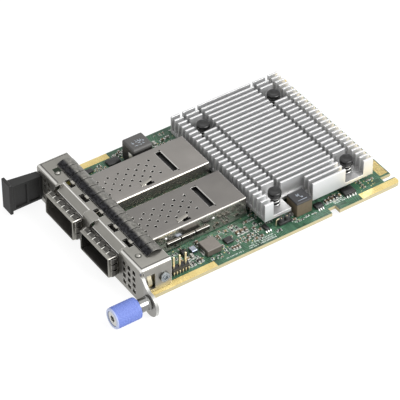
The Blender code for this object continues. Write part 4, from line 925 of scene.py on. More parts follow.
# Punched tongue: its height grows as a power of the way to the rear, and both sides sink as it rises
def tongueShape(middle):
    s = punchSettings
    v = np.linspace(0, 1, 11)[:, None]
    u = np.linspace(-1, 1, 7)
    x = middle + s["tongueX"] + s["tongueHalf"] * u * (1 - s["narrow"] * v)
    y = s["tongueY"][0] + (s["tongueY"][1] - s["tongueY"][0]) * v
    return sheet(placesOf(x, y, s["top"] + s["lift"] * v ** s["power"] - s["arch"] * u ** 2 * v), s["sheet"])


domes = []
for middle, way in zip(cageMiddles, (1, -1)):
    dimple = [(r, way * h) for r, h in punchSettings["dimple"]]
    wall = middle + way * punchSettings["wall"]
    domes += [turned(dimple, 20, "X", (wall, y, z)) for y, z in punchSettings["dimples"]]
makePiece("cage_dimples", joined(domes), "bright_nickel", smooth=50)
makePiece("punched_tongues", joined([tongueShape(middle) for middle in cageMiddles]), "dull_metal",
          smooth=50)


# Contacts in the port connectors, in two rows, and their solder tails behind: boxes of width, length and height
contactSettings = {"count": 17, "pitch": 0.8, "box": (0.36, 4.2, 0.22), "start": 0.5, "rows": (3.72, 5.08),
                   "tail": (0.32, 0.6, 0.16), "tailPlace": (0.22, 0.16)}

s = contactSettings
contacts = []
for side in ("right", "left"):
    low, high = boxOf(side + "_port_connector")
    x = spaced(s["count"], s["pitch"], (low[0] + high[0]) / 2)
    for z in s["rows"]:
        contacts.append(softBoxes(placesOf(x, low[1] + s["start"] + s["box"][1] / 2, z), s["box"], 0.05))
    behind, z = s["tailPlace"]
    contacts.append(softBoxes(placesOf(x, high[1] + behind, z), s["tail"], 0.04))
makePiece("port_contacts", joined(contacts), "gold", smooth=0)


# Two-way connector beside the heatsink: two black barrels with a pin each on one base, and a bent gold pin
barrelSettings = {"x": 32.35, "y": (64.2, 66.7), "base": (2.3, 5.2, 1.2), "baseZ": 0.85, "pin": (1.9, 2.9),
                  "outline": ((0.0, 1.9), (0.42, 1.9), (0.5, 3.0), (0.88, 3.05), (1.0, 2.9), (1.02, 0.35),
                              (0.85, 0.2), (0.0, 0.2)),
                  "bent": ((32.2, 62.0, 0.2), (32.2, 62.0, 2.3), (32.2, 62.15, 2.7), (32.2, 62.5, 2.9),
                           (32.2, 63.3, 2.9))}

s = barrelSettings
barrels = [turned(s["outline"], 28, "Z", (s["x"], y, 0)) for y in s["y"]]
barrels.append(softBoxes((s["x"], sum(s["y"]) / 2, s["baseZ"]), s["base"], 0.15))
makePiece("barrels", joined(barrels), "black_plastic", smooth=40)
pins = [tube(s["bent"], 0.22, 8)] + [tube([(s["x"], y, z) for z in s["pin"]], 0.2, 10) for y in s["y"]]
makePiece("barrel_pins", joined(pins), "gold", smooth=40)


# Header: legs in two rows beside its base, each a box of width, length and height
legSettings = {"out": 0.12, "first": 0.65, "pitch": 1.27, "z": 0.95, "box": (0.2, 0.42, 1.7)}

s = legSettings
low, high = boxOf("header_base")
legs = [placesOf(x, np.arange(low[1] + s["first"], high[1], s["pitch"]), s["z"])
        for x in (low[0] - s["out"], high[0] + s["out"])]
makePiece("header_legs", softBoxes(np.concatenate(legs), s["box"], 0.06), "gold", smooth=0)


# Solder beads under the board, where cages and header are pressed through it: an outline of radius and height
beadSettings = {"outline": ((0.0, -2.35), (0.22, -2.3), (0.3, -1.95), (0.55, -1.7), (0.78, -1.575), (0.0, -1.5)),
                "cageX": 9.28, "cageY": (14.5, 21.5, 28.5, 35.5, 42.5, 52.5), "header": (32.4, 19.1, 2.54)}

s = beadSettings
beads = [(middle + way * s["cageX"], y, 0) for middle in cageMiddles for way in (-1, 1) for y in s["cageY"]]
x, y, pitch = s["header"]
beads += [(x, place, 0) for place in spaced(3, pitch, y)]
makePiece("solder_beads", repeated(turned(s["outline"], 16), beads), "solder", smooth=40)
print("details made:", len(beads), "beads")


# Thumbscrew: places along Y, and radii from its axis

screwSettings = {
    "axis": (41.0, 0.0, 1.4), "front": -15.3, "back": -4.9, "wall": 4.08, "round": 0.45, "rear": 0.3,
    "ridges": 44, "ridge": 0.0585, "slant": 3.0, "plain": (0.9, 0.6), "straight": (0.6, 0.35), "rings": 26,
    # places along Y of the painted highlight on the knob's front rim
    "frontRimHighlight": (-15.2, -14.6),
    # rings of the knob inside, radius and place: the front recess from the knob's front, the bore from its back
    "recess": ((1.5, 2.6), (3.02, 2.55)), "rim": (3.02, 3.1), "bore": ((2.95, 0.0), (2.95, -6.3), (1.5, -6.35)),
    # rings of the screw's head, from the knob's front: radius, place and share of the six lobes; then its shank
    "lobe": 0.16,
    "head": ((0.0, 1.62, 0), (0.75, 1.62, 1), (1.15, 1.42, 1), (1.22, 0.24, 1), (1.4, 0.14, 0.6), (2.0, 0.12, 0),
             (2.7, 0.14, 0), (2.94, 0.28, 0), (3.0, 0.57, 0), (3.0, 2.4, 0), (1.3, 2.45, 0)),
    "shank": ((1.3, -3.75), (1.75, -3.65), (1.75, -2.6), (1.3, -2.3), (1.3, -1.9)),
    "thread": {"start": -1.8, "step": 0.058, "count": 40, "radius": 1.25, "depth": 0.13, "pitch": 0.35,
               "end": 0.62, "taper": 0.5, "least": 0.55},
    "ferrule": ((1.62, -4.88), (2.35, -4.88), (2.52, -4.82), (2.6, -4.62), (2.6, -4.3), (2.53, -4.24),
                (2.53, -4.12), (2.6, -4.06), (2.6, -1.5), (2.55, -1.45), (2.55, -1.3), (2.6, -1.25), (2.6, -0.9),
                (2.68, -0.72), (2.88, -0.52), (2.9, -0.2), (2.44, -0.17), (2.44, 1.33), (2.02, 1.33),
                (2.02, -3.98), (1.62, -4.0)),
    "coil": {"radius": 2.2, "wire": 0.4, "height": 6.1, "turns": 3.5}, "coilStart": -11.15,
}


# Knob: a cup turned about Y whose wall carries a fine diamond knurl, the sum of two crossed sine waves, between
# quarter rounds at both ends
def knobShape():
    s = screwSettings
    angle = np.arange(s["ridges"] * 6) * math.tau / (s["ridges"] * 6)
    curve, rear = np.linspace(0, math.pi / 2, 5)[1:], np.linspace(0, math.pi / 2, 4)
    edge = s["wall"] - s["round"]
    first, last = s["straight"]
    y = [*[s["front"]] * 3, *(s["front"] + s["round"] * (1 - np.cos(curve))),
         *np.linspace(s["front"] + first, s["back"] - last, s["rings"]),
         *(s["back"] + s["rear"] * (np.sin(rear) - 1))]
    radius = [*s["rim"], edge, *(edge + s["round"] * np.sin(curve)), *[s["wall"]] * s["rings"],
              *(s["wall"] + s["rear"] * (np.cos(rear) - 1))]
    y, radius = np.array(y)[:, None], np.array(radius)[:, None]
    before, after = s["plain"]
    knurled = (y > s["front"] + before) & (y < s["back"] - after)
    turn, slant = angle * s["ridges"], y * s["slant"]
    r = radius + knurled * s["ridge"] * (np.sin(turn + slant) + np.sin(turn - slant))
    recess, bore = np.array(s["recess"]), np.array(s["bore"])
    radii = np.concatenate([np.repeat(recess[:, :1], len(angle), 1), r, np.repeat(bore[:, :1], len(angle), 1)])
    places = np.concatenate([s["front"] + recess[:, 1], y[:, 0], s["back"] + bore[:, 1]])
    return lobed(radii, places, "Y", s["axis"], ring=True)


# Screw in the knob: disc with a six-lobed recess that sinks in two steps, then shank, shoulder and a tip whose
# thread is a cosine of the way along it minus the angle
def screwShape():
    s = screwSettings
    t = s["thread"]
    angle = np.arange(96) * math.tau / 96
    head, shank = np.array(s["head"]), np.array(s["shank"])
    lobes = head[:, :1] * (1 + s["lobe"] * np.cos(6 * angle) * head[:, 2:])
    y = t["start"] + t["step"] * np.arange(t["count"])
    wave = 0.5 + 0.5 * np.cos(y[:, None] * math.tau / t["pitch"] - angle)
    taper = np.clip((t["end"] - y) / t["taper"], t["least"], 1)[:, None]
    radii = np.concatenate([lobes, np.repeat(shank[:, :1], 96, 1), (t["radius"] - t["depth"] * wave) * taper,
                            np.zeros((1, 96))])
    return lobed(radii, np.concatenate([s["front"] + head[:, 1], shank[:, 1], y, [y[-1] + 0.02]]), "Y", s["axis"])


# Helix of round wire: the end coils lie flat and the middle ones rise evenly
def helix(radius, wire, height, turns):
    flat = 0.7  # part of a turn at each end
    t = np.linspace(0, 1, int(turns * 30))
    rise = np.clip((t * turns - flat) / (turns - 2 * flat), 0, 1)
    angle = t * turns * math.tau
    return np.stack([radius * np.cos(angle), radius * np.sin(angle), wire / 2 + (height - wire) * rise], 1)


# Knob plastic: a grain as fine as the knurl picks between two blues, the edges are lighter, and the front rim
# carries a painted highlight
def knobFinish():
    f = Finish("knobBlue", "#6577bd", 0.5)
    grain = f.noise(2.4, 4.0, 0.75)
    # the front rim's pale colour is a painted highlight
    shade = f.layers(f.mix(f.step(grain, 0.36, 0.66), "#5166b4", "#7487cb"), (f.wear(0.3) * 0.35, "#96a6e0"),
                     (1 - f.step(f.y, *screwSettings["frontRimHighlight"]), "#c6d0ee"))
    return f.done(shade, 0.46 + grain * 0.16, grain, 0.04)


looks["knob"] = knobFinish()
s = screwSettings
# a piece that turns has no seam, so its shapes are closed all round
makePiece("knob", knobShape(), "knob", body="thumbscrew", smooth=50, replaces=("thumbscrew_knob",))
makePiece("knob_screw", screwShape(), "bright_nickel", body="thumbscrew", replaces=("thumbscrew_screw",))
makePiece("ferrule", turned(s["ferrule"], 64, "Y", s["axis"], ring=True), "ferrule", smooth=40,
          replaces=("thumbscrew_ferrule",))
x, _, z = s["axis"]
coilPath = helix(**s["coil"])[:, [0, 2, 1]] + (x, s["coilStart"], z)
coil = makePiece("release_coil", tube(coilPath, s["coil"]["wire"] / 2, 10), "spring_wire", body="release_spring",
                 smooth=60, replaces=("thumbscrew_spring",))
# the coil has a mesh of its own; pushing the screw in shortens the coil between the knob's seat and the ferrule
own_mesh(coil)


# Push pins and their springs: outlines of radius and height

pinSettings = {
    "places": {"front_left": (-20.978, 65.5), "front_right": (25.914, 65.5), "rear_left": (-20.978, 98.3),
               "rear_right": (25.914, 98.3)},
    "pin": ((0, 10.98), (1.2, 11.0), (1.5, 11.14), (1.75, 11.2), (2.2, 11.16), (2.48, 11.0), (2.6, 10.7),
            (2.6, 10.1), (2.64, 10.05), (2.64, 9.95), (2.6, 9.9), (2.6, 8.95), (2.5, 8.74), (1.6, 8.7), (1.55, 7.95),
            (1.3, 7.85), (1.2, 7.7), (1.2, 2.3), (0, 2.25)),
    "leg": ((0.42, 2.4), (1.15, 2.4), (1.15, -1.84), (1.46, -1.98), (1.3, -2.3), (0.7, -3.3), (0.42, -3.38)),
    "legAngle": 68, "coil": {"radius": 2.0, "wire": 0.46, "height": 3.7, "turns": 3.4}, "coilStart": 4.87,
}


# Pin: turned head with a dished top and a parting ridge, collar, shank, and two barbed legs below the board, each
# its outline turned through part of a circle and closed by flat ends
def pinShape():
    s = pinSettings
    reach = math.radians(s["legAngle"])
    angle = np.linspace(-reach, reach, 13)
    side = len(angle)
    # quads and a triangle that fill the outline at one end, whose points lie a row apart
    quads = np.array([(0, 1, 5, 6), (1, 2, 4, 5)]) * side
    barb = np.array([(2, 3, 4)]) * side
    faces = [gridFaces(len(s["leg"]), side, closeRows=True), quads, quads + side - 1,
             np.concatenate([barb, barb + side - 1])]
    shapes = [turned(s["pin"], 40)]
    for turn in (0, math.pi):
        r, z = np.array(s["leg"]).T[:, :, None]
        grid = placesOf(r * np.cos(angle + turn), r * np.sin(angle + turn), z)
        shapes.append((grid.reshape(-1, 3) * mm, faces))
    return joined(shapes)


s = pinSettings
wire = tube(helix(**s["coil"]) + (0, 0, s["coilStart"]), s["coil"]["wire"] / 2, 10)
for place, (x, y) in s["places"].items():
    makePiece("pin_" + place, placed(pinShape(), 40, (x, y, 0)), "pin_plastic", smooth=40,
              replaces=("push_pin_" + place,))
    makePiece("coil_" + place, placed(wire, 25, (x, y, 0)), "spring_wire", smooth=60,
              replaces=("pin_spring_" + place,))


# Screws of the flanges and the pull tab

panSettings = {
    "flange": {"head": 2.0, "thick": 1.1, "shank": 1.0, "length": 4.2}, "flangePlace": (0.16, 10.0, 5.2),
    "tab": {"head": 1.0, "thick": 0.9, "shank": 0.58, "length": 5.9}, "tabPlace": (-32.75, 1.16),
    "tabHeights": {"lower": 2.3, "upper": 6.5}, "lobe": 0.14,
    # rings of the head: radius in head radii, depth in head heights and in mm, share of the six lobes
    "rings": ((0, 1, -0.75, 0), (0.30, 1, -0.75, 1), (0.42, 1, -0.7, 1), (0.44, 1, -0.06, 1), (0.5, 1, 0, 0.4),
              (0.6, 1, 0, 0), (0.64, 1, -0.3, 0), (0.76, 1, -0.34, 0), (0.8, 0.86, 0, 0), (0.93, 0.8, 0, 0),
              (1, 0.5, 0, 0), (1, 0, 0.1, 0), (0.97, 0, 0.02, 0)),
}


# Screw turned about X or Y: pan head with a six-lobed socket, then a plain shank
def panScrew(axis, way, centre, head, thick, shank, length):
    angle = np.arange(48) * math.tau / 48
    radius, part, deep, share = np.array(panSettings["rings"]).T
    radius = np.append(radius * head, [shank, shank, 0])[:, None]
    depth = np.append(part * thick + deep, [0, -length, -length - 0.2])
    share = np.append(share, [0, 0, 0])[:, None]
    return lobed(radius * (1 + panSettings["lobe"] * np.cos(6 * angle) * share), depth * way, axis, centre)


s = panSettings
out, y, z = s["flangePlace"]
for side, (way, wall) in windowSettings["walls"].items():
    makePiece(side + "_pan_screw", panScrew("X", way, (wall + way * out, y, z), **s["flange"]), "screw_zinc",
              replaces=(side + "_flange_screw",))
for name, z in s["tabHeights"].items():
    makePiece("tab_pan_screw_" + name, panScrew("Y", 1, (*s["tabPlace"], z), **s["tab"]), "bright_nickel",
              replaces=("pull_tab_screw_" + name,))
print("fasteners made")


# Small parts on both sides of the board

partSettings = {
    "seed": 7, "toneSeed": 3, "clusters": {"upper": 800, "lower": 420}, "most": 8, "gap": 0.28, "between": 0.42,
    "room": 0.16, "edge": 36.7, "front": 2.4, "back": 108.6,
    # length, width, height, share of all, kind: 0 tan, 1 brown, 2 black, 3 grey
    "sizes": ((1.0, 0.5, 0.5, 0.34, 0), (1.0, 0.5, 0.35, 0.26, 2), (1.6, 0.8, 0.8, 0.12, 1),
              (1.6, 0.8, 0.45, 0.07, 2), (0.6, 0.3, 0.3, 0.16, 0), (2.0, 1.25, 1.1, 0.03, 1),
              (1.6, 0.8, 0.8, 0.02, 3)),
    "tones": (0.0, 0.13, 0.40, 0.74), "toneSpread": 0.15,
    # body and ends: shares of length, width and height, pads: of length and width, and how far out both lie
    "body": (0.62, 0.94, 0.93), "end": (0.24, 1, 1), "endShift": 0.39, "pad": (0.42, 1.12), "padHeight": 0.07,
    "padShift": 0.468, "lift": 0.06,
    # a chip's leg: places outwards from the body, heights in its own height and in mm, half width, thickness
    "legOut": (-0.05, 0.3, 0.5, 0.7, 1.1), "legHigh": (0.55, 0.55, 0.3, 0, 0), "legLow": (0, 0, 0, 0.12, 0.1),
    "legHalf": 0.2, "legSheet": 0.12, "legRoom": 2.2, "chipRoom": 0.3, "chipLift": 0.1,
}
# rectangles of gold strips, fingers, slots and the notch, and those of the heatsink and the printed blocks above
keepClear = {
    "both": ((34.6, 0, 40, 32.8), (-40, 0, -34.6, 32.8), (34.6, 97, 40, 120), (-40, 97, -34.6, 120),
             (34.0, 82.0, 40, 88.2), (31, 108.5, 36, 120), (-36, 108.5, -31, 120), (31, 61.5, 33.7, 68.4),
             (35.3, 0, 40, 120)),
    "upper": ((-26, 63, 24, 101), (35.4, 46.4, 37.4, 59.4), (33.0, 86.4, 34.6, 97.0)),
    "lower": (),
}
# parts that the photo shows: x, y, along X or Y, length, width, height, kind
shownParts = np.array([
    (27.78, 47.6, 0, 2.0, 1.2, 1.1, 1), (27.78, 49.5, 0, 2.0, 1.2, 1.1, 1), (27.78, 51.4, 0, 2.0, 1.2, 1.1, 1),
    (31.5, 50.2, 0, 1.6, 0.9, 0.8, 1), (31.6, 52.0, 0, 1.0, 0.6, 0.5, 0), (33.5, 41.9, 0, 1.7, 0.8, 0.6, 1),
    (33.6, 43.1, 0, 1.7, 0.8, 0.6, 1), (33.6, 44.3, 0, 1.7, 0.8, 0.6, 1), (32.0, 27.6, 0, 1.9, 0.85, 0.7, 2),
    (32.0, 28.9, 0, 1.9, 0.85, 0.7, 1), (32.2, 24.1, 0, 1.8, 0.8, 0.6, 3), (32.2, 25.4, 0, 1.8, 0.8, 0.6, 2),
    (29.4, 24.7, 0, 1.7, 1.3, 1.1, 0), (28.9, 26.9, 0, 1.9, 1.2, 1.2, 3), (26.3, 40.6, 1, 1.2, 0.7, 0.6, 1),
    (30.4, 39.5, 0, 1.2, 0.7, 0.6, 0), (31.9, 84.9, 0, 1.8, 0.9, 0.9, 1), (31.9, 86.4, 0, 1.8, 0.9, 0.9, 1),
    (31.9, 87.9, 0, 1.8, 0.9, 0.9, 1), (31.9, 89.4, 0, 1.8, 0.9, 0.9, 2), (31.9, 91.2, 0, 1.6, 0.9, 0.9, 0),
    (-31.9, 50.4, 0, 2.0, 1.2, 1.2, 3), (-31.0, 48.1, 0, 1.8, 1.1, 1.1, 1), (-32.4, 54.3, 1, 1.6, 0.8, 0.8, 1),
    (-34.2, 33.6, 0, 1.7, 0.9, 0.8, 3), (-35.2, 38.6, 1, 1.7, 0.9, 0.8, 1), (-35.4, 42.4, 1, 1.7, 0.9, 0.8, 0),
    (24.6, 60.4, 1, 1.2, 0.7, 0.6, 1), (27.0, 56.0, 0, 1.6, 0.8, 0.7, 2), (24.4, 53.6, 1, 1.6, 0.8, 0.7, 1),
    (24.2, 44.6, 1, 1.6, 0.8, 0.7, 0), (24.2, 36.8, 1, 1.6, 0.8, 0.7, 1), (34.9, 61.5, 1, 1.6, 0.8, 0.7, 2),
    (35.0, 35.9, 1, 1.0, 0.5, 0.5, 0), (28.9, 22.6, 0, 1.6, 0.8, 0.7, 0)])
# each side: height of its face, way out, chips as x, y, width, length, height, legs a side and their spacing, and
# hatched blocks of ink as x, first and last y
sides = {
    "upper": {"base": 0.0, "way": 1, "parts": shownParts, "replaces": ("capacitor_1", "capacitor_2", "capacitor_3"),
              "chips": ((31.2, 58.0, 2.9, 1.6, 1.0, 3, 0.95), (-31.8, 31.6, 3.4, 5.2, 1.1, 0, 0),
                        (31.9, 95.0, 3.9, 4.9, 1.4, 4, 1.27), (26.0, 25.2, 3.0, 2.0, 1.5, 0, 0),
                        (32.3, 81.2, 2.6, 3.4, 1.0, 3, 0.95), (-32.3, 21.2, 2.2, 3.0, 0.8, 0, 0),
                        (-33.4, 60.6, 3.0, 1.7, 1.0, 3, 0.95), (0.0, 60.9, 2.0, 2.0, 0.7, 0, 0)),
              "blocks": ((34.5, 49.2, 58.8), (35.5, 47.0, 58.8), (36.4, 47.0, 58.8), (33.2, 87.2, 96.6),
                         (33.9, 87.2, 96.6), (34.0, 69.0, 79.5), (36.2, 37.0, 44.5))},
    "lower": {"base": -1.57, "way": -1, "parts": shownParts[:0], "replaces": (),
              "chips": ((-14.0, 82.0, 10.0, 10.0, 0.9, 0, 0), (14.0, 82.0, 10.0, 10.0, 0.9, 0, 0),
                        (2.0, 52.0, 6.0, 5.0, 1.5, 4, 1.27), (-20.0, 40.0, 4.0, 5.0, 1.4, 4, 1.27),
                        (22.0, 34.0, 5.0, 5.0, 0.8, 0, 0), (0.0, 20.0, 3.0, 3.0, 0.8, 0, 0),
                        (29.0, 70.0, 3.9, 4.9, 1.4, 4, 1.27), (-29.0, 70.0, 3.0, 3.0, 0.8, 0, 0)),
              "blocks": ((-34.0, 40.0, 52.0), (-33.0, 40.0, 52.0), (30.0, 88.0, 96.0))},
}


# Half sizes in X and Y, from length and width and from the side along which each part lies
def halves(parts):
    return np.where(parts[:, 2:3] == 0, parts[:, 3:5], parts[:, 4:2:-1]) / 2


# Rectangles that parts keep out of: the clear ones and the box of each node at that face, grown by the gap
def keepOut(side):
    boxes = []
    for name in nodes:
        low, high = boxOf(name)
        atFace = high[2] >= 0 and low[2] <= 1.2 if side == "upper" else low[2] <= -1
        if name != "circuit_board" and atFace:
            boxes.append((*(low[:2] - partSettings["gap"]), *(high[:2] + partSettings["gap"])))
    return np.array([*boxes, *keepClear["both"], *keepClear[side]])


# Random layout: each cluster is a short row of one size at one pitch; a part stays where its rectangle meets no
# other
def layout(side, taken):
    s = partSettings
    rng = np.random.default_rng(s["seed"] + (side == "lower"))
    half = halves(taken) + s["gap"]
    blocked = np.concatenate([keepOut(side), np.concatenate([taken[:, :2] - half, taken[:, :2] + half], 1)])
    sizes = np.array(s["sizes"])
    kept = []
    for _ in range(s["clusters"][side]):
        length, width, height, _, kind = sizes[rng.choice(len(sizes), p=sizes[:, 3] / sizes[:, 3].sum())]
        turn, across = rng.integers(0, 2), rng.integers(0, 2)
        pitch = (width if turn != across else length) + s["between"]
        start = np.array([rng.uniform(-s["edge"], s["edge"]), rng.uniform(s["front"], s["back"])])
        half = np.array([length, width] if turn == 0 else [width, length]) / 2 + s["room"]
        for k in range(rng.integers(1, s["most"])):
            place = start + pitch * k * np.array([across, 1 - across])
            if abs(place[0]) + half[0] > s["edge"] or place[1] + half[1] > s["back"] or place[1] < s["front"]:
                break
            if ((blocked[:, :2] < place + half) & (blocked[:, 2:] > place - half)).all(1).any():
                continue
            blocked = np.vstack([blocked, [*(place - half), *(place + half)]])
            kept.append((*place, turn, length, width, height, kind))
    return np.array(kept)


# Bodies, ends and pads of the parts: the body is the middle of the length, an end caps each side of it, and a pad
# lies under each end. On the lower side the height is measured downwards
def partBoxes(parts, base, way):
    s = partSettings
    flat = parts[:, 2] == 0
    along, over = (np.stack([one, ~one, 0 * one], 1).astype(float) for one in (flat, ~flat))
    up = np.array([0, 0, 1.0])
    length, width, height = (parts[:, i:i + 1] for i in (3, 4, 5))
    middle = np.concatenate([parts[:, :2], base + way * (height / 2 + s["lift"])], 1)
    ground = placesOf(parts[:, 0], parts[:, 1], base + way * s["padHeight"] / 2)

    def sized(long, wide, high):
        return along * length * long + over * width * wide + up * high

    body = softBoxes(middle, sized(*s["body"][:2], height * s["body"][2]), 0.05)
    ends, pads = [], []
    for sign in (-1, 1):
        outward = along * sign * length
        ends.append(softBoxes(middle + outward * s["endShift"], sized(*s["end"][:2], height * s["end"][2]), 0.07))
        pads.append(softBoxes(ground + outward * s["padShift"], sized(*s["pad"], s["padHeight"]), 0.03))
    return body, joined(ends + pads)


# Moulded chips with bent legs; legs stand out on both X sides and step down to the board
def chipShapes(chips, base, way):
    s = partSettings
    bodies, legs = [], []
    for x, y, wide, long, height, count, pitch in chips:
        bodies.append(softBoxes((x, y, base + way * (height / 2 + s["chipLift"])), (wide, long, height), 0.14))
        out, share, low = np.array((s["legOut"], s["legHigh"], s["legLow"]))[:, :, None]
        for sign in (-1, 1) if count else ():
            grid = placesOf(x + sign * (wide / 2 + out), np.array((-1, 1)) * s["legHalf"],
                            base + way * (height * share + low))
            legs.append(repeated(sheet(grid, s["legSheet"]), rowOf(spaced(count, pitch, y), 1)))
    return joined(bodies), joined(legs)


# Ceramic and resistor bodies: the tint picks tan, brown, black or grey, and grain varies it
def passiveFinish():
    f = Finish("passives", (0.3, 0.2, 0.1), 0.42)
    tint = f.node("ShaderNodeAttribute", {"attribute_name": "tint"}, {}, "Fac")
    grain = f.noise(5.0, 3.0)
    stops = ((0.0, "#a8946f"), (0.12, "#857157"), (0.30, "#574739"), (0.38, "#1c1c1e"), (0.62, "#2b2b2c"),
             (0.70, "#8f8d86"), (1.0, "#c3c1b8"))
    shade = f.node("ShaderNodeValToRGB", {"stops": stops}, {"Fac": tint}, "Color")
    return f.done(f.mix(grain * 0.35, shade, (0.02, 0.017, 0.014)), 0.36 + grain * 0.2, grain, 0.01)


# Screen-printed ink: off-white, thin in places so that the mask shows through
def silkFinish(name, thick, thin, low, high):
    f = Finish(name, thick, 0.6)
    return f.done(f.mix(f.step(f.noise(2.2, 3.0), low, high), thick, thin), 0.5 + f.noise(3.0) * 0.2)


looks["passives"] = passiveFinish()
looks["silk"] = silkFinish("silkInk", "#dbe3dd", "#93ab9c", 0.5, 0.8)
looks["trace"] = silkFinish("traceMask", "#6f9a80", "#437056", 0.3, 0.7)

inkSettings = {"out": 0.22, "outlined": 0.62, "pitch": 0.42, "filled": 0.82, "reach": (0.45, 0.72),
               "lean": (0, 0, 0.25), "width": 0.2, "heights": (0.004, 0.02)}


# Ink: strokes at two sides of many parts, and hatched blocks of short ones
def inkStrokes(parts, blocks, rng):
    s = inkSettings
    half = halves(parts) + s["out"]
    pick = rng.uniform(0, 1, len(parts)) < s["outlined"]
    (left, front), (right, back) = (parts[:, :2] - half)[pick].T, (parts[:, :2] + half)[pick].T
    starts = [placesOf(left, front, 0), placesOf(left, back, 0)]
    stops = [placesOf(right, front, 0), placesOf(right, back, 0)]
    for x, first, last in blocks:
        y = np.arange(first, last, s["pitch"])
        y = y[rng.uniform(0, 1, len(y)) < s["filled"]]
        starts.append(placesOf(x, y, 0))
        stops.append(placesOf(x + rng.uniform(*s["reach"], len(y)), y + rng.choice(s["lean"], len(y)), 0))
    return np.concatenate(starts)[:, :2], np.concatenate(stops)[:, :2]


trackSettings = {"count": 230, "group": 4, "pitch": 0.42, "x": (-36, 36), "y": (4, 96), "one": (1.5, 5),
                 "step": (0.6, 2.2), "two": (1, 5), "edge": 34.2, "front": 2, "back": 107, "width": 0.16,
                 "heights": (0.001, 0.012)}


# Tracks: a straight run, a step at 45 degrees and a second run, in parallel groups
def trackStrokes(rng):
    s = trackSettings
    count = s["count"]
    lead = np.stack([rng.uniform(*s["x"], count), rng.uniform(*s["y"], count)], 1)
    turn = rng.integers(0, 2, count)
    one = rng.uniform(*s["one"], count)[:, None]
    step = (rng.uniform(*s["step"], count) * rng.choice([-1, 1], count))[:, None]
    two = rng.uniform(*s["two"], count)[:, None]
    ahead, aside = (np.stack([way, 1 - way], 1) for way in (turn, 1 - turn))
    starts, stops = [], []
    for k in range(s["group"]):
        origin = lead + aside * s["pitch"] * k
        bend = origin + ahead * one
        after = bend + ahead * np.abs(step) + aside * step
        starts += [origin, bend, after]
        stops += [bend, after, after + ahead * two]
    starts, stops = np.concatenate(starts), np.concatenate(stops)
    inside = (np.abs(starts[:, 0]) < s["edge"]) & (np.abs(stops[:, 0]) < s["edge"])
    inside &= (stops[:, 1] < s["back"]) & (starts[:, 1] > s["front"])
    return starts[inside], stops[inside]


for side, s in sides.items():
    base, way, chips = s["base"], s["way"], s["chips"]
    rooms = np.array([(x, y, 0, wide + partSettings["legRoom" if count else "chipRoom"],
                       long + partSettings["chipRoom"], height, 0) for x, y, wide, long, height, count, _ in chips])
    parts = np.concatenate([s["parts"], layout(side, np.concatenate([s["parts"], rooms]))])
    rng = np.random.default_rng(partSettings["toneSeed"] + (side == "lower"))
    tone = np.array(partSettings["tones"])[parts[:, 6].astype(int)]
    tone = tone + rng.uniform(0, partSettings["toneSpread"], len(parts))
    body, metal = partBoxes(parts, base, way)
    cases, legs = chipShapes(chips, base, way)
    makePiece(side + "_passives", body, "passives", smooth=0, tint=np.repeat(tone, boxPoints),
              replaces=s["replaces"])
    makePiece(side + "_terminals", metal, "solder", smooth=0)
    makePiece(side + "_chips", cases, "chip_black", smooth=0)
    makePiece(side + "_legs", legs, "solder", smooth=30)
    for name, look, settings, strokes in (("_ink", "silk", inkSettings, inkStrokes(parts, s["blocks"], rng)),
                                          ("_tracks", "trace", trackSettings, trackStrokes(rng))):
        low, high = sorted(base + way * height for height in settings["heights"])
        makePiece(side + name, bars(*strokes, settings["width"], low, high), look, smooth=0)
    print(side, "side:", len(parts), "parts")


# Camera, light and floor

cameraSettings = {"azimuth": 56.069, "elevation": 41.312, "roll": -0.177, "distance": 0.936477,
                  "centre": (0.004399, 0.04692, 0.0), "lens": 226.2, "sensor": 36.0, "clip": 20}


# Camera at the centre that looks straight down, turned about Z by the azimuth, tipped up about its X by what the
# elevation leaves of a right angle, rolled, and drawn back along its own axis by the distance
def placeCamera():
    s = cameraSettings
    matrix = Matrix.Translation(s["centre"])
    for angle, axis in ((s["azimuth"], "Z"), (90 - s["elevation"], "X"), (s["roll"], "Z")):
        matrix = matrix @ Matrix.Rotation(math.radians(angle), 4, axis)
    data = bpy.data.cameras.new("camera")
    data.lens, data.sensor_width, data.clip_end = s["lens"], s["sensor"], s["clip"]
    camera = bpy.data.objects.new("camera", data)
    camera.matrix_world = matrix @ Matrix.Translation((0, 0, s["distance"]))
    bpy.context.scene.collection.objects.link(camera)
    bpy.context.scene.camera = camera


lampTarget = (0.0, 0.05, 0.0)
lampSettings = {
    "key": {"place": (0.45, 0.30, 0.42), "size": 0.5, "power": 5.6},
    "top": {"place": (-0.10, 0.05, 0.75), "size": 0.7, "power": 1.0},
    "front": {"place": (0.10, -0.60, 0.35), "size": 0.5, "power": 0.7},
}


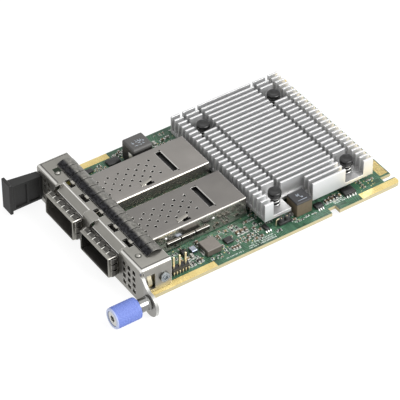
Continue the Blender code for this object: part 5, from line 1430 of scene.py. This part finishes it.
# Square soft boxes, each turned towards the card's middle
def placeLamps():
    for name, s in lampSettings.items():
        data = bpy.data.lights.new(name, "AREA")
        data.size = s["size"]
        data.energy = s["power"]
        lamp = bpy.data.objects.new(name, data)
        lamp.location = s["place"]
        lamp.rotation_euler = (Vector(lampTarget) - Vector(s["place"])).to_track_quat("-Z", "Y").to_euler()
        bpy.context.scene.collection.objects.link(lamp)


# brightness of the world as light and as seen, and the floor: half size, drop below the card, colour, glow and how
# much of the glow is seen
roomSettings = {"light": 0.36, "seen": 1.0, "half": 6.0, "drop": 0.0001, "floor": (0.8, 0.8, 0.8), "rough": 0.9,
                "glow": 1.22, "share": 0.72}


# World: even grey-white light, and plain white to the camera and to mirrors
def makeWorld():
    world = bpy.data.worlds.new("studio")
    world.use_nodes = True
    bpy.context.scene.world = world
    w = Shop(world.node_tree)
    level = w.node("ShaderNodeMapRange", {}, {"Value": w.seen(), "To Min": roomSettings["light"],
                                              "To Max": roomSettings["seen"]})
    background = w.tree.nodes["Background"]
    w.put(background.inputs["Color"], (1, 1, 1))
    w.put(background.inputs["Strength"], level)


# Floor: matt white that shades, with white added for the camera and mirrors so that only a soft shadow shows
def makeFloor():
    s = roomSettings
    low = min(cadBox[0][2], cadBox[1][2]) - s["drop"]
    mesh = bpy.data.meshes.new("floor")
    mesh.from_pydata([(x * s["half"], y * s["half"], low) for x, y in ((-1, -1), (1, -1), (1, 1), (-1, 1))], [],
                     [(0, 1, 2, 3)])
    floor = bpy.data.objects.new("floor", mesh)
    bpy.context.scene.collection.objects.link(floor)
    f = Finish("floor", s["floor"], s["rough"])
    glow = f.node("ShaderNodeEmission", {}, {"Color": (1, 1, 1), "Strength": s["glow"]})
    blend = f.node("ShaderNodeMixShader", {}, {0: f.seen() * s["share"], 1: Wire(f, f.surface.outputs[0]), 2: glow})
    f.put(f.tree.nodes["Material Output"].inputs["Surface"], blend)
    mesh.materials.append(f.material)


placeCamera()
placeLamps()
makeWorld()
makeFloor()
bpy.context.scene.view_settings.view_transform = "Standard"
print("camera, lamps and floor placed")
